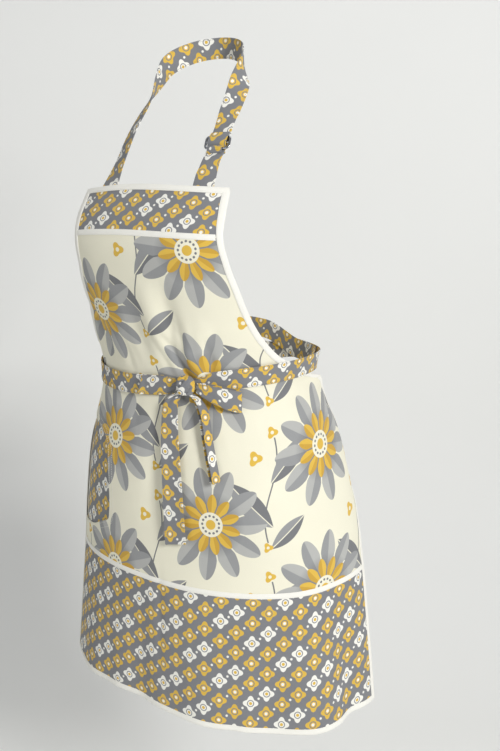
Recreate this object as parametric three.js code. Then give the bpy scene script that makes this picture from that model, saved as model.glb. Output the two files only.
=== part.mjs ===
// Hostess apron in its worn form. Millimetres, +Z up, the front faces -Y, +X is the wearer's left.
// The origin is the nape of the neck, on the inner face of the neck strap that carries the apron.
import * as THREE from 'three';

// Cloth and sewing sizes
const PANEL_CLOTH = 1.2;
const STRAP_CLOTH = 1.6;
const BINDING_CLOTH = 1.0;
const TRIM_CLOTH = 1.0;
const FACING_CLOTH = 1.0;
const GAP = 0.3;
const BINDING_WIDTH = 6;
const BINDING_ROLL = 1.5;
const BINDING_STRETCH = 2.4;
const TRIM_WIDTH = 6.5;
const STRAP_WIDTH = 25;
const TIE_WIDTH = 25;

// Heights of the seams and edges below the nape, measured on the cloth
const BIB_TOP = -161;
const BIB_SEAM = -214;
const CORNER = -406;
const HEM_SEAM = -641;
const HEM = -812;

// The body axis lies this far in front of the nape, and the back of the waist is flatter than the front
const AXIS_Y = -15;
const BACK_FLATNESS = 0.76;

// Sections of the worn form: a rounded ring at each height, about a centre on the body axis
const RINGS = table(['height', 'centre', 'halfWidth', 'depth', 'power'], [
  [-162, -20, 155, 120, 2.4],
  [-216, -18, 176, 156, 2.5],
  [-265, -16, 172, 155, 2.4],
  [-318, -13, 160, 142, 2.3],
  [-368, -11, 149, 130, 2.2],
  [-402, -11, 144, 125, 2.2],
  [-436, -5, 155, 130, 2.2],
  [-492, 3, 176, 148, 2.2],
  [-565, 9, 192, 158, 2.2],
  [-645, 12, 204, 167, 2.1],
  [-825, 17, 229, 180, 2.1],
]);

// Cut edges as angles round the body from the front, positive to the wearer's left
const ARMHOLE = table(['height', 'left', 'right'], [
  [BIB_TOP, 45, -43],
  [-185, 41.5, -38],
  [-214, 39, -33.5],
  [-245, 41, -33.5],
  [-275, 44.5, -36],
  [-304, 48.5, -39],
  [-331, 54, -44],
  [-353, 61, -52],
  [-367, 67.5, -60],
  [-385, 80, -74],
  [-397, 92, -84],
  [CORNER, 102, -90],
]);
const SIDE = table(['height', 'left', 'right'], [
  [CORNER, 102, -90],
  [-440, 106, -86],
  [-474, 107, -76],
  [-507, 106, -65],
  [-546, 101, -60.5],
  [-580, 95, -60],
  [HEM_SEAM, 91.5, -60],
  [HEM, 86.5, -61.5],
]);

// The hem hangs a little unevenly: its drop by angle, growing from the waist down
const HANG = table(['angle', 'drop'], [
  [-90, 4],
  [-55, 0],
  [-25, -7],
  [0, -3],
  [30, 5],
  [60, 11],
  [90, 3],
]);
const HANG_TOP = -410;

// The bib's top edge bows and tilts: its corners hang this much lower at this angle
const BIB_BOW = { left: 2.5, right: 9, angle: 42, fadeTo: -300 };

// Folds: a groove (negative) or ridge that runs between two heights, fading at its ends
const FOLDS = table(['angleTop', 'angleBottom', 'width', 'depth', 'top', 'bottom', 'toHem'], [
  [13, 14, 4.5, -5, -245, -388, 0],
  [2, 6, 5, 4, -250, -388, 0],
  [-9, -3, 5, -3, -285, -388, 0],
  [-32, -36, 4, -4, -315, -392, 0],
  [30, 25, 5, 3, -300, -380, 0],
  [2, -6, 6, -3, -430, -600, 0],
  [42, 46, 9, 3, -440, -640, 0],
  [-8, -10, 7, -5, -580, HEM, 1],
  [18, 20, 9, 4, -600, HEM, 1],
  [44, 46, 8, -4, -600, HEM, 1],
  [60, 62, 7, 5, -580, HEM, 1],
  [74, 76, 5, -8, -600, HEM, 1],
  [-36, -38, 8, 4, -640, HEM, 1],
]);

// By the wearer's-left edge the cloth stands off the body at the waist corner, then turns in behind
// the hip: how far at one angle, growing from another
const TURN = { from: 86, to: 102 };
const TURN_LIFT = table(['height', 'lift'], [
  [-398, 0],
  [-404, 6],
  [-410, 7],
  [-420, 3],
  [-432, 0.5],
  [-446, -1],
  [-465, -1.5],
  [-480, -3.5],
  [-500, -7],
  [-525, -10.5],
  [-550, -12],
  [-585, -10.5],
  [-625, -6],
  [-670, -2],
  [-700, 0],
]);

// Side pocket at the wearer's right hip: how far its opening reaches in from the side edge, and the
// width of the facing that shows in it
const POCKET = { top: -465, bottom: -612, overlap: 12, facing: 126 };
const POCKET_REACH = table(['height', 'reach'], [
  [POCKET.top, 0],
  [-465.7, 13],
  [-467, 36],
  [-469, 60],
  [-471.5, 84],
  [-475.5, 105],
  [-486, 112.5],
  [-505, 102],
  [-525, 97.5],
  [-550, 97.5],
  [-575, 100],
  [-586, 98],
  [-592, 84],
  [-604, 56],
  [-608.5, 34],
  [-611, 13],
  [POCKET.bottom, 0],
]);

// Waist ties: the sash line's height round the body, how far each layer lies off the body, the crossing
// at the back, and how a tie drops to its sewn end
const WAIST = table(['angle', 'height'], [
  [0, -400.5],
  [20, -395],
  [45, -386.5],
  [70, -383],
  [97, -383],
  [120, -385],
  [150, -383],
  [180, -380],
  [225, -390],
  [270, -402],
  [315, -406],
  [340, -404.5],
  [360, -400.5],
]);
const KNOT_ANGLE = 20;
const KNOT_JOIN = 0.4;
const TIE_TURN = { left: { start: 76, farCorner: 266 }, right: { start: 70, farCorner: 258 } };
const TIE_LAYER = { sewn: -3.4, over: -1, front: 3.2 };
const TIE_CROSSING = { spread: 15, half: 18, fade: 52, climb: 24 };
const TIE_START = { drop: 8, turn: 30 };
const TIE_GATHER = { share: 0.58, from: 5, turn: 9 };

// Bow at the waist: knot half sizes, then the routes of its loop and ends
const KNOT = { halfWidth: 11.5, halfHeight: 12.5, halfDepth: 7, rise: 0.5 };
const LOOP = table(['angle', 'offset', 'height', 'width'], [
  [25.4, 9.4, -398, 11],
  [29.5, 13, -400.5, 17],
  [36, 15.5, -406, 23],
  [42.4, 14.5, -411, 26],
  [45.8, 10.6, -413, 26],
  [42.8, 7, -411, 26],
  [36, 6, -406, 23],
  [29.5, 5.9, -400.5, 17],
  [25.4, 6, -398, 11],
]);
const LONG_END = table(['angle', 'offset', 'height', 'width'], [
  [15.4, 9.4, -405.5, 14],
  [10.8, 10, -418, 21],
  [9, 8.5, -441, 24],
  [9.4, 7, -498, 25],
  [10.7, 6.5, -585, 25],
]);
const LONG_END_SKEW = { rise: 5, over: 40 };
const LONG_END_RADIUS = 150;
const SHORT_END = table(['angle', 'offset', 'height'], [
  [22.6, 10.8, -405.7],
  [25.6, 11.5, -413],
  [27.3, 11, -426],
  [27.8, 10, -456],
  [29.4, 9, -503.5],
]);
const SHORT_END_FOLD = { back: -7, core: 3, front: 6.5, open: 3.4 };
const SHORT_END_GATHER = { share: 0.55, over: 25 };

// Neck straps: routes from the bib round the neck, with the way the strap faces as an angle from the front
const STRAP_SEWN = { right: -29.5, left: 32, depth: 22, offset: -4.4, camber: 1.2 };
const NECK_ROUTE = table(['x', 'y', 'z', 'facing', 'camber'], [
  [-76, -114, -138, -30, 0],
  [-66, -99, -100, -34, 0],
  [-57, -77, -66, -38, 0],
  [-55, -59, -42, -70, 0],
  [-52, -38, -20, -106, 0],
  [-33, -12, -5, -144, 0],
  [0, 0.8, 0, -180, 0],
  [33, -12, -6, -216, 0],
  [52, -35, -22, -254, 0],
  [60.5, -63, -53, -334, 0],
]);
const SLIDER = {
  x: 55.5, y: -100, z: -113, facing: 2, skew: 9, width: 31, height: 17, bar: 2.4, thickness: 2, corner: 5,
  slotCorner: 1.5,
};
const STRAP_STUB = 12.5;

const COLOURS = { main: 0xe9e5cd, contrast: 0x85868a, binding: 0xf1efe6, nickel: 0xb9bcc0 };

// Tables and interpolation

function table(columns, rows) {
  return rows.map((row) => Object.fromEntries(columns.map((name, i) => [name, row[i]])));
}

// A smooth curve through one column of a table, as a function of its first column
function curve(rows, key, column) {
  const sorted = [...rows].sort((a, b) => a[key] - b[key]);
  const x = sorted.map((row) => row[key]);
  const y = sorted.map((row) => row[column]);
  const last = x.length - 1;
  const slope = x.map((_, i) => {
    const a = Math.max(i - 1, 0);
    const b = Math.min(i + 1, last);
    return (y[b] - y[a]) / (x[b] - x[a]);
  });
  return (at) => {
    const t = Math.min(Math.max(at, x[0]), x[last]);
    let i = 0;
    while (i < last - 1 && t > x[i + 1]) i += 1;
    const span = x[i + 1] - x[i];
    const u = (t - x[i]) / span;
    const rest = 1 - u;
    return y[i] * rest * rest * (1 + 2 * u) + y[i + 1] * u * u * (3 - 2 * u)
      + span * u * rest * (slope[i] * rest - slope[i + 1] * u);
  };
}

function clamp01(t) {
  return Math.min(Math.max(t, 0), 1);
}

function smoothstep(t) {
  const u = clamp01(t);
  return u * u * (3 - 2 * u);
}

function mix(a, b, t) {
  return a + (b - a) * t;
}

// Evenly spaced numbers, both ends included
function spread(from, to, steps) {
  return Array.from({ length: steps + 1 }, (_, i) => mix(from, to, i / steps));
}

// The worn surface

const ring = {
  centre: curve(RINGS, 'height', 'centre'),
  halfWidth: curve(RINGS, 'height', 'halfWidth'),
  depth: curve(RINGS, 'height', 'depth'),
  power: curve(RINGS, 'height', 'power'),
};
const hangDrop = curve(HANG, 'angle', 'drop');

function foldDepth(angle, height) {
  let sum = 0;
  for (const fold of FOLDS) {
    const t = clamp01((fold.top - height) / (fold.top - fold.bottom));
    const fade = fold.toHem ? smoothstep(t) : Math.sin(Math.PI * t) ** 2;
    const off = (angle - mix(fold.angleTop, fold.angleBottom, t)) / fold.width;
    sum += fold.depth * fade * Math.exp(-off * off);
  }
  return sum;
}

const turnLift = curve(TURN_LIFT, 'height', 'lift');

function edgeLift(angle, height) {
  const round = Math.max((angle - TURN.from) / (TURN.to - TURN.from), 0);
  return turnLift(height) * round * round;
}

// A point at an angle round the body, at a true height, lifted off the body
function bodyPoint(angle, z, lift) {
  const a = THREE.MathUtils.degToRad(angle);
  const across = Math.sin(a);
  const ahead = Math.cos(a);
  const depth = ring.depth(z) * (ahead < 0 ? BACK_FLATNESS : 1);
  const power = ring.power(z);
  const sum = Math.abs(across / ring.halfWidth(z)) ** power + Math.abs(ahead / depth) ** power;
  const radius = sum ** (-1 / power) + lift;
  return new THREE.Vector3(ring.centre(z) + radius * across, AXIS_Y - radius * ahead, z);
}

// A point of the cloth's middle surface at an angle round the body and a height on the cloth
function clothPoint(angle, height) {
  const below = clamp01((HANG_TOP - height) / (HANG_TOP - HEM));
  const bow = (angle < 0 ? BIB_BOW.right : BIB_BOW.left) * (angle / BIB_BOW.angle) ** 2;
  const bibShare = smoothstep((height - BIB_BOW.fadeTo) / (BIB_SEAM - BIB_BOW.fadeTo));
  const z = height - hangDrop(angle) * below ** 2 - bow * bibShare;
  return bodyPoint(angle, z, foldDepth(angle, height) + edgeLift(angle, height));
}

function clothNormal(angle, height) {
  const round = clothPoint(angle + 0.3, height).sub(clothPoint(angle - 0.3, height));
  const up = clothPoint(angle, height + 0.6).sub(clothPoint(angle, height - 0.6));
  return round.cross(up).normalize();
}

function cloth(angle, height, offset) {
  return clothPoint(angle, height).addScaledVector(clothNormal(angle, height), offset);
}

// The angle that spans a length along the cloth
function arc(length, angle, height) {
  const step = clothPoint(angle + 0.5, height).distanceTo(clothPoint(angle - 0.5, height));
  return length / step;
}

// Closed solids from grids of points

// Two triangles, split along the shorter diagonal so that slanting cells follow the curve of the cloth
function addQuad(points, index, a, b, c, d) {
  if (points[a].distanceTo(points[c]) <= points[b].distanceTo(points[d])) {
    index.push(a, b, c, a, c, d);
  } else {
    index.push(a, b, d, b, c, d);
  }
}

function solidFrom(points, index) {
  const geometry = new THREE.BufferGeometry();
  const position = new Float32Array(points.flatMap((p) => [p.x, p.y, p.z]));
  geometry.setAttribute('position', new THREE.BufferAttribute(position, 3));
  let volume = 0;
  for (let i = 0; i < index.length; i += 3) {
    const [a, b, c] = [points[index[i]], points[index[i + 1]], points[index[i + 2]]];
    volume += a.dot(new THREE.Vector3().crossVectors(b, c));
  }
  geometry.setIndex(volume < 0 ? index.slice().reverse() : index);
  geometry.computeVertexNormals();
  return geometry;
}

// A wall between two grids of the same size, closed round its rim
function wall(outer, inner) {
  const rows = outer.length;
  const columns = outer[0].length;
  const points = [...outer.flat(), ...inner.flat()];
  const at = (side, r, c) => side * rows * columns + r * columns + c;
  const index = [];
  for (let r = 0; r + 1 < rows; r += 1) {
    for (let c = 0; c + 1 < columns; c += 1) {
      addQuad(points, index, at(0, r, c), at(0, r, c + 1), at(0, r + 1, c + 1), at(0, r + 1, c));
      addQuad(points, index, at(1, r, c), at(1, r + 1, c), at(1, r + 1, c + 1), at(1, r, c + 1));
    }
  }
  const end = columns - 1;
  const low = rows - 1;
  for (let r = 0; r + 1 < rows; r += 1) {
    addQuad(points, index, at(0, r, 0), at(0, r + 1, 0), at(1, r + 1, 0), at(1, r, 0));
    addQuad(points, index, at(0, r + 1, end), at(0, r, end), at(1, r, end), at(1, r + 1, end));
  }
  for (let c = 0; c < end; c += 1) {
    addQuad(points, index, at(0, 0, c + 1), at(0, 0, c), at(1, 0, c), at(1, 0, c + 1));
    addQuad(points, index, at(0, low, c), at(0, low, c + 1), at(1, low, c + 1), at(1, low, c));
  }
  return solidFrom(points, index);
}

// A section of points swept through stations and capped at both ends
function sweep(stations, ends) {
  const size = stations[0].length;
  const points = stations.flat();
  const index = [];
  for (let s = 0; s + 1 < stations.length; s += 1) {
    for (let i = 0; i < size; i += 1) {
      const next = (i + 1) % size;
      addQuad(points, index, s * size + i, s * size + next, (s + 1) * size + next, (s + 1) * size + i);
    }
  }
  const last = (stations.length - 1) * size;
  for (const [a, b, c] of ends) {
    index.push(c, b, a);
    index.push(last + a, last + b, last + c);
  }
  return solidFrom(points, index);
}

const apron = new THREE.Group();

function add(name, geometry, colour, roughness = 0.85, metalness = 0) {
  const material = new THREE.MeshStandardMaterial({ color: colour, roughness, metalness });
  const mesh = new THREE.Mesh(geometry, material);
  mesh.name = name;
  apron.add(mesh);
}

// Edges of the panels

const armhole = { left: curve(ARMHOLE, 'height', 'left'), right: curve(ARMHOLE, 'height', 'right') };
const side = { left: curve(SIDE, 'height', 'left'), right: curve(SIDE, 'height', 'right') };

function edgeAngle(height, wearerSide) {
  return height > CORNER ? armhole[wearerSide](height) : side[wearerSide](height);
}

const INWARD = { left: -1, right: 1 };

// How far a binding reaches in along a row, so that it measures its width square to a slanting edge
function bindingReach(height, wearerSide) {
  const step = 1.5;
  const high = Math.min(height + step, BIB_TOP);
  const low = height > CORNER ? Math.max(height - step, CORNER) : height - step;
  const edge = (at) => clothPoint(edgeAngle(at, wearerSide), at);
  const run = edge(high).sub(edge(low));
  return BINDING_WIDTH * Math.min(run.length() / Math.abs(run.z), BINDING_STRETCH);
}

function insetAngle(height, wearerSide) {
  const edge = edgeAngle(height, wearerSide);
  return edge + INWARD[wearerSide] * arc(bindingReach(height, wearerSide), edge, height);
}

const pocketReach = curve(POCKET_REACH, 'height', 'reach');

// How far the pocket's opening is cut in from the wearer's right edge, as an angle
function pocketCut(height) {
  return arc(pocketReach(height), side.right(height), height);
}

// Angles along one row of a panel: the edge, the binding's inner line, then even steps
function rowAngles(height, columns) {
  const cut = pocketCut(height);
  const right = edgeAngle(height, 'right') + cut;
  const rightIn = insetAngle(height, 'right') + cut;
  const left = edgeAngle(height, 'left');
  const leftIn = insetAngle(height, 'left');
  return [right, ...spread(rightIn, leftIn, columns), left];
}

function panel(heights, columns) {
  const grid = (offset) => heights.map((height) =>
    rowAngles(height, columns).map((angle) => cloth(angle, height, offset)));
  return wall(grid(PANEL_CLOTH / 2), grid(-PANEL_CLOTH / 2));
}

const SEAM_GAP = GAP / 2;
const bibRows = [BIB_TOP, ...spread(BIB_TOP - BINDING_WIDTH, BIB_SEAM + SEAM_GAP, 4)];
const cornerRows = [-359, -367, -376, -385, -391, -397, -402, CORNER];
const upperRows = [...spread(BIB_SEAM - SEAM_GAP, -350, 10), ...cornerRows];
const pocketRows = POCKET_REACH.slice(1).map(({ height }) => height);
const lowerRows = [...spread(CORNER, POCKET.top, 4), ...pocketRows, HEM_SEAM + SEAM_GAP];
const hemRows = [...spread(HEM_SEAM - SEAM_GAP, HEM + BINDING_WIDTH, 7), HEM];
const BIB_COLUMNS = 14;
const SKIRT_COLUMNS = 20;

add('bib_band', panel(bibRows, BIB_COLUMNS), COLOURS.contrast);
add('body_panel', panel([...upperRows, ...lowerRows.slice(1)], SKIRT_COLUMNS), COLOURS.main);
add('hem_band', panel(hemRows, SKIRT_COLUMNS), COLOURS.contrast);

// White trims that cover the two seams, between the bindings

function seamTrim(seam, columns) {
  const inset = arc(BINDING_WIDTH + GAP, 0, seam);
  const heights = [seam + TRIM_WIDTH / 2, seam, seam - TRIM_WIDTH / 2];
  const grid = (offset) => heights.map((height) => {
    const angles = spread(edgeAngle(height, 'right') + inset, edgeAngle(height, 'left') - inset, columns);
    return angles.map((angle) => cloth(angle, height, offset));
  });
  const under = PANEL_CLOTH / 2 + GAP;
  return wall(grid(under + TRIM_CLOTH), grid(under));
}

add('bib_trim', seamTrim(BIB_SEAM, 24), COLOURS.binding);
add('hem_trim', seamTrim(HEM_SEAM, 40), COLOURS.binding);

// Bindings: a folded strip round the cut edge, with a leg on each face of the cloth

const LEG_IN = PANEL_CLOTH / 2 + GAP;
const LEG_OUT = LEG_IN + BINDING_CLOTH;
const BINDING_ENDS = [[0, 1, 6], [0, 6, 7], [1, 2, 6], [2, 5, 6], [2, 3, 5], [3, 4, 5]];

// One station: where the cloth ends, where the leg ends, and the way out of the cloth
function bindingSection(edge, inner, outward) {
  const at = (spot, offset, out = 0) =>
    cloth(spot.angle, spot.height, offset).addScaledVector(outward, out);
  return [
    at(inner, LEG_OUT),
    at(edge, LEG_OUT, BINDING_ROLL),
    at(edge, -LEG_OUT, BINDING_ROLL),
    at(inner, -LEG_OUT),
    at(inner, -LEG_IN),
    at(edge, -LEG_IN, GAP),
    at(edge, LEG_IN, GAP),
    at(inner, LEG_IN),
  ];
}

function edgeBinding(heights, wearerSide) {
  const spots = heights.map((height) => ({ height, angle: edgeAngle(height, wearerSide) }));
  const stations = spots.map((edge, i) => {
    const before = spots[Math.max(i - 1, 0)];
    const after = spots[Math.min(i + 1, spots.length - 1)];
    const along = clothPoint(after.angle, after.height).sub(clothPoint(before.angle, before.height));
    const outward = along.cross(clothNormal(edge.angle, edge.height)).normalize();
    outward.multiplyScalar(INWARD[wearerSide]);
    const inner = { height: edge.height, angle: insetAngle(edge.height, wearerSide) };
    return bindingSection(edge, inner, outward);
  });
  return sweep(stations, BINDING_ENDS);
}

function levelBinding(height, inward, columns) {
  const inside = height + inward * BINDING_WIDTH;
  const angles = rowAngles(height, columns);
  const inner = rowAngles(inside, columns);
  const stations = angles.map((angle, i) => {
    const edge = { angle, height };
    const outward = clothPoint(angle, height).sub(clothPoint(angle, height + inward)).normalize();
    return bindingSection(edge, { angle: inner[i], height: inside }, outward);
  });
  return sweep(stations, BINDING_ENDS);
}

const belowTop = BIB_TOP - BINDING_WIDTH - 2 * GAP;
const aboveHem = HEM + BINDING_WIDTH + 2 * GAP;
const armholeRows = [belowTop, ...bibRows.slice(2, -1), ...upperRows];
const sideRows = [CORNER - 2 * GAP, ...lowerRows.slice(1), ...hemRows.slice(1, -2), aboveHem];

add('binding_bib_top', levelBinding(BIB_TOP, -1, BIB_COLUMNS), COLOURS.binding);
add('binding_hem', levelBinding(HEM, 1, SKIRT_COLUMNS), COLOURS.binding);
for (const wearerSide of ['left', 'right']) {
  add(`binding_armhole_${wearerSide}`, edgeBinding(armholeRows, wearerSide), COLOURS.binding);
  add(`binding_side_${wearerSide}`, edgeBinding(sideRows, wearerSide), COLOURS.binding);
}

// Pocket facing: a plain piece behind the panel, from the side binding to past the pocket's opening

function pocketFacing() {
  const heights = spread(POCKET.top + POCKET.overlap, POCKET.bottom - POCKET.overlap, 10);
  const middle = -(PANEL_CLOTH + 3.5 * GAP);
  const grid = (offset) => heights.map((height) => {
    const edge = side.right(height);
    const from = insetAngle(height, 'right') + arc(2 * GAP, edge, height);
    const to = from + arc(POCKET.facing, edge, height);
    return spread(from, to, 6).map((angle) => cloth(angle, height, offset));
  });
  return wall(grid(middle + FACING_CLOTH / 2), grid(middle - FACING_CLOTH / 2));
}

add('pocket_facing', pocketFacing(), COLOURS.contrast);

// Ribbons: a wall of even cloth along a route, given the two edges and the face at each station

function ribbon(stations, thickness) {
  const grid = (offset) => stations.map(({ points, face }) =>
    points.map((point) => point.clone().addScaledVector(face, offset)));
  return wall(grid(thickness / 2), grid(-thickness / 2));
}

// Smooth curves through a route's columns, by the distance along its points
function routeCurves(rows, points, columns) {
  let run = 0;
  const marked = rows.map((row, i) => {
    run += i ? points[i].distanceTo(points[i - 1]) : 0;
    return { ...row, run };
  });
  const curves = columns.map((name) => [name, curve(marked, 'run', name)]);
  const at = (distance) => Object.fromEntries(curves.map(([name, value]) => [name, value(distance)]));
  return { length: run, at };
}

// Waist ties

const waistCurve = curve(WAIST, 'angle', 'height');

function waistHeight(angle) {
  return waistCurve(THREE.MathUtils.euclideanModulo(angle, 360));
}

// The layer of a tie by the angle it has turned: inside its own corner, over the other tie at the back,
// then out over the other corner
function tieLayer(turn, farCorner) {
  const overOther = smoothstep((turn - 180 + TIE_CROSSING.half) / (2 * TIE_CROSSING.half));
  const climb = smoothstep((turn - farCorner) / TIE_CROSSING.climb + 1);
  return mix(mix(TIE_LAYER.sewn, TIE_LAYER.over, overOther), TIE_LAYER.front, climb);
}

// A tie starts inside the apron's waist corner, crosses the back and ends behind the knot. The left one
// lies higher where they cross
function tie(way, { start, farCorner }) {
  const end = 360 + way * KNOT_ANGLE - KNOT_JOIN;
  const { fade, half: level } = TIE_CROSSING;
  const stations = spread(start, end, 50).map((turn) => {
    const angle = way * turn;
    const apart = smoothstep((fade - Math.abs(turn - 180)) / (fade - level));
    const fresh = 1 - smoothstep((turn - start) / TIE_START.turn);
    const middle = waistHeight(angle) + way * TIE_CROSSING.spread * apart - TIE_START.drop * fresh;
    const gather = mix(TIE_GATHER.share, 1, smoothstep((end - turn - TIE_GATHER.from) / TIE_GATHER.turn));
    const half = 0.5 * TIE_WIDTH * gather;
    const layer = tieLayer(turn, farCorner);
    const points = [-half, 0, half].map((up) => bodyPoint(angle, middle + up, layer));
    const a = THREE.MathUtils.degToRad(angle);
    return { points, face: new THREE.Vector3(Math.sin(a), -Math.cos(a), 0) };
  });
  return ribbon(stations, STRAP_CLOTH);
}

add('tie_left', tie(1, TIE_TURN.left), COLOURS.contrast);
add('tie_right', tie(-1, TIE_TURN.right), COLOURS.contrast);

// Bow

const knotHeight = waistHeight(KNOT_ANGLE) + KNOT.rise;

function knot() {
  const geometry = new THREE.SphereGeometry(1, 14, 10);
  geometry.scale(KNOT.halfWidth, KNOT.halfDepth, KNOT.halfHeight);
  geometry.rotateZ(THREE.MathUtils.degToRad(KNOT_ANGLE));
  const lift = TIE_LAYER.front + STRAP_CLOTH / 2 + 2 * GAP + KNOT.halfDepth;
  const centre = bodyPoint(KNOT_ANGLE, knotHeight, lift);
  geometry.translate(centre.x, centre.y, centre.z);
  return geometry;
}

// Points and spacing of a route that is given round the body
function bodyRoute(rows, columns) {
  return routeCurves(rows, rows.map((row) => bodyPoint(row.angle, row.height, row.offset)), columns);
}

// The loop stands on edge: its width is upright and its cloth runs out and back
function bowLoop() {
  const route = bodyRoute(LOOP, ['angle', 'offset', 'height', 'width']);
  const centre = (distance) => {
    const at = route.at(distance);
    return bodyPoint(at.angle, at.height, at.offset);
  };
  const stations = spread(0, route.length, 30).map((distance) => {
    const half = route.at(distance).width / 2;
    const along = centre(distance + 0.5).sub(centre(distance - 0.5)).setZ(0).normalize();
    const middle = centre(distance);
    const points = [-half, 0, half].map((up) => middle.clone().setZ(middle.z + up));
    return { points, face: new THREE.Vector3(along.y, -along.x, 0) };
  });
  return ribbon(stations, STRAP_CLOTH);
}

// The long end lies flat in front of the skirt
function longEnd() {
  const route = bodyRoute(LONG_END, ['angle', 'offset', 'height', 'width']);
  const stations = spread(0, route.length, 16).map((distance) => {
    const at = route.at(distance);
    const low = smoothstep(1 - (route.length - distance) / LONG_END_SKEW.over);
    const points = spread(-0.5, 0.5, 3).map((side) => {
      const turn = THREE.MathUtils.radToDeg(at.width * side / LONG_END_RADIUS);
      const skew = LONG_END_SKEW.rise * side * low;
      return bodyPoint(at.angle + turn, at.height + skew, at.offset);
    });
    const a = THREE.MathUtils.degToRad(at.angle);
    return { points, face: new THREE.Vector3(Math.sin(a), -Math.cos(a), 0) };
  });
  return ribbon(stations, STRAP_CLOTH);
}

// The short end hangs folded along its length: a V in section, closed at the back
function shortEnd() {
  const route = bodyRoute(SHORT_END, ['angle', 'offset', 'height']);
  const { back, core, front, open } = SHORT_END_FOLD;
  const section = [[back, 0], [front, open + STRAP_CLOTH], [front, open], [back + core, 0], [front, -open],
    [front, -open - STRAP_CLOTH]];
  const stations = spread(0, route.length, 14).map((distance) => {
    const at = route.at(distance);
    const a = THREE.MathUtils.degToRad(at.angle);
    const across = new THREE.Vector3(Math.cos(a), Math.sin(a), 0);
    const out = new THREE.Vector3(Math.sin(a), -Math.cos(a), 0);
    const middle = bodyPoint(at.angle, at.height, at.offset);
    const gather = mix(SHORT_END_GATHER.share, 1, smoothstep(distance / SHORT_END_GATHER.over));
    return section.map(([t, n]) => middle.clone()
      .addScaledVector(across, -t * gather).addScaledVector(out, n * gather));
  });
  return sweep(stations, [[0, 1, 2], [0, 2, 3], [0, 3, 4], [0, 4, 5]]);
}

add('bow_knot', knot(), COLOURS.contrast);
add('bow_loop', bowLoop(), COLOURS.contrast);
add('tie_end_long', longEnd(), COLOURS.contrast);
add('tie_end_short', shortEnd(), COLOURS.contrast);

// Neck straps

function facingVector(facing) {
  const a = THREE.MathUtils.degToRad(facing);
  return new THREE.Vector3(Math.sin(a), -Math.cos(a), 0);
}

function strap(rows, steps) {
  const spots = rows.map((row) => new THREE.Vector3(row.x, row.y, row.z));
  const route = routeCurves(rows, spots, ['x', 'y', 'z', 'facing', 'camber']);
  const spot = (distance) => {
    const { x, y, z } = route.at(distance);
    return new THREE.Vector3(x, y, z);
  };
  const stations = spread(0, route.length, steps).map((distance) => {
    const along = spot(distance + 0.5).sub(spot(distance - 0.5)).normalize();
    const { facing, camber } = route.at(distance);
    const face = facingVector(facing);
    face.addScaledVector(along, -face.dot(along)).normalize();
    const across = new THREE.Vector3().crossVectors(along, face);
    const middle = spot(distance);
    const points = [-0.5, 0, 0.5].map((side) => middle.clone()
      .addScaledVector(across, side * STRAP_WIDTH).addScaledVector(face, -camber * Math.abs(side) * 2));
    return { points, face };
  });
  return ribbon(stations, STRAP_CLOTH);
}

function strapRow(point, facing, camber = 0) {
  return { x: point.x, y: point.y, z: point.z, facing, camber };
}

// The sewn end of a strap behind the bib, from its lower end to the bib's top edge
function sewnEnd(wearerSide) {
  const angle = STRAP_SEWN[wearerSide];
  const heights = [BIB_TOP - STRAP_SEWN.depth, BIB_TOP - STRAP_SEWN.depth / 2, BIB_TOP];
  return heights.map((height) => {
    const out = clothNormal(angle, height);
    const facing = THREE.MathUtils.radToDeg(Math.atan2(out.x, -out.y));
    return strapRow(cloth(angle, height, STRAP_SEWN.offset), facing, STRAP_SEWN.camber);
  });
}

// The slider's frame: up the strap, across it and out of its face
const sliderSpot = new THREE.Vector3(SLIDER.x, SLIDER.y, SLIDER.z);
const aboveSlider = NECK_ROUTE[NECK_ROUTE.length - 1];
const sliderUp = new THREE.Vector3(aboveSlider.x, aboveSlider.y, aboveSlider.z).sub(sliderSpot).normalize();
const sliderOut = facingVector(SLIDER.facing);
sliderOut.addScaledVector(sliderUp, -sliderOut.dot(sliderUp)).normalize();
const sliderAcross = new THREE.Vector3().crossVectors(sliderUp, sliderOut);
const strapLift = SLIDER.thickness / 2 + GAP + STRAP_CLOTH / 2;

function nearSlider(up, out) {
  return sliderSpot.clone().addScaledVector(sliderUp, up).addScaledVector(sliderOut, out);
}

function roundedSlot(shape, halfWidth, low, high, corner) {
  shape.moveTo(-halfWidth + corner, low);
  shape.lineTo(halfWidth - corner, low);
  shape.absarc(halfWidth - corner, low + corner, corner, -Math.PI / 2, 0, false);
  shape.lineTo(halfWidth, high - corner);
  shape.absarc(halfWidth - corner, high - corner, corner, 0, Math.PI / 2, false);
  shape.lineTo(-halfWidth + corner, high);
  shape.absarc(-halfWidth + corner, high - corner, corner, Math.PI / 2, Math.PI, false);
  shape.lineTo(-halfWidth, low + corner);
  shape.absarc(-halfWidth + corner, low + corner, corner, Math.PI, 1.5 * Math.PI, false);
  return shape;
}

// A rounded frame with a middle bar, sitting a little askew on the strap
function sliderFrame() {
  const { width, height, bar, thickness, corner, slotCorner, skew } = SLIDER;
  const outline = roundedSlot(new THREE.Shape(), width / 2, -height / 2, height / 2, corner);
  const slotHalf = width / 2 - bar;
  outline.holes.push(roundedSlot(new THREE.Path(), slotHalf, bar / 2, height / 2 - bar, slotCorner));
  outline.holes.push(roundedSlot(new THREE.Path(), slotHalf, bar - height / 2, -bar / 2, slotCorner));
  const depth = { depth: thickness, bevelEnabled: false, curveSegments: 4 };
  const geometry = new THREE.ExtrudeGeometry(outline, depth);
  geometry.translate(0, 0, -thickness / 2);
  geometry.rotateZ(THREE.MathUtils.degToRad(skew));
  const pose = new THREE.Matrix4().makeBasis(sliderAcross, sliderUp, sliderOut);
  return geometry.applyMatrix4(pose.setPosition(sliderSpot));
}

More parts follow.
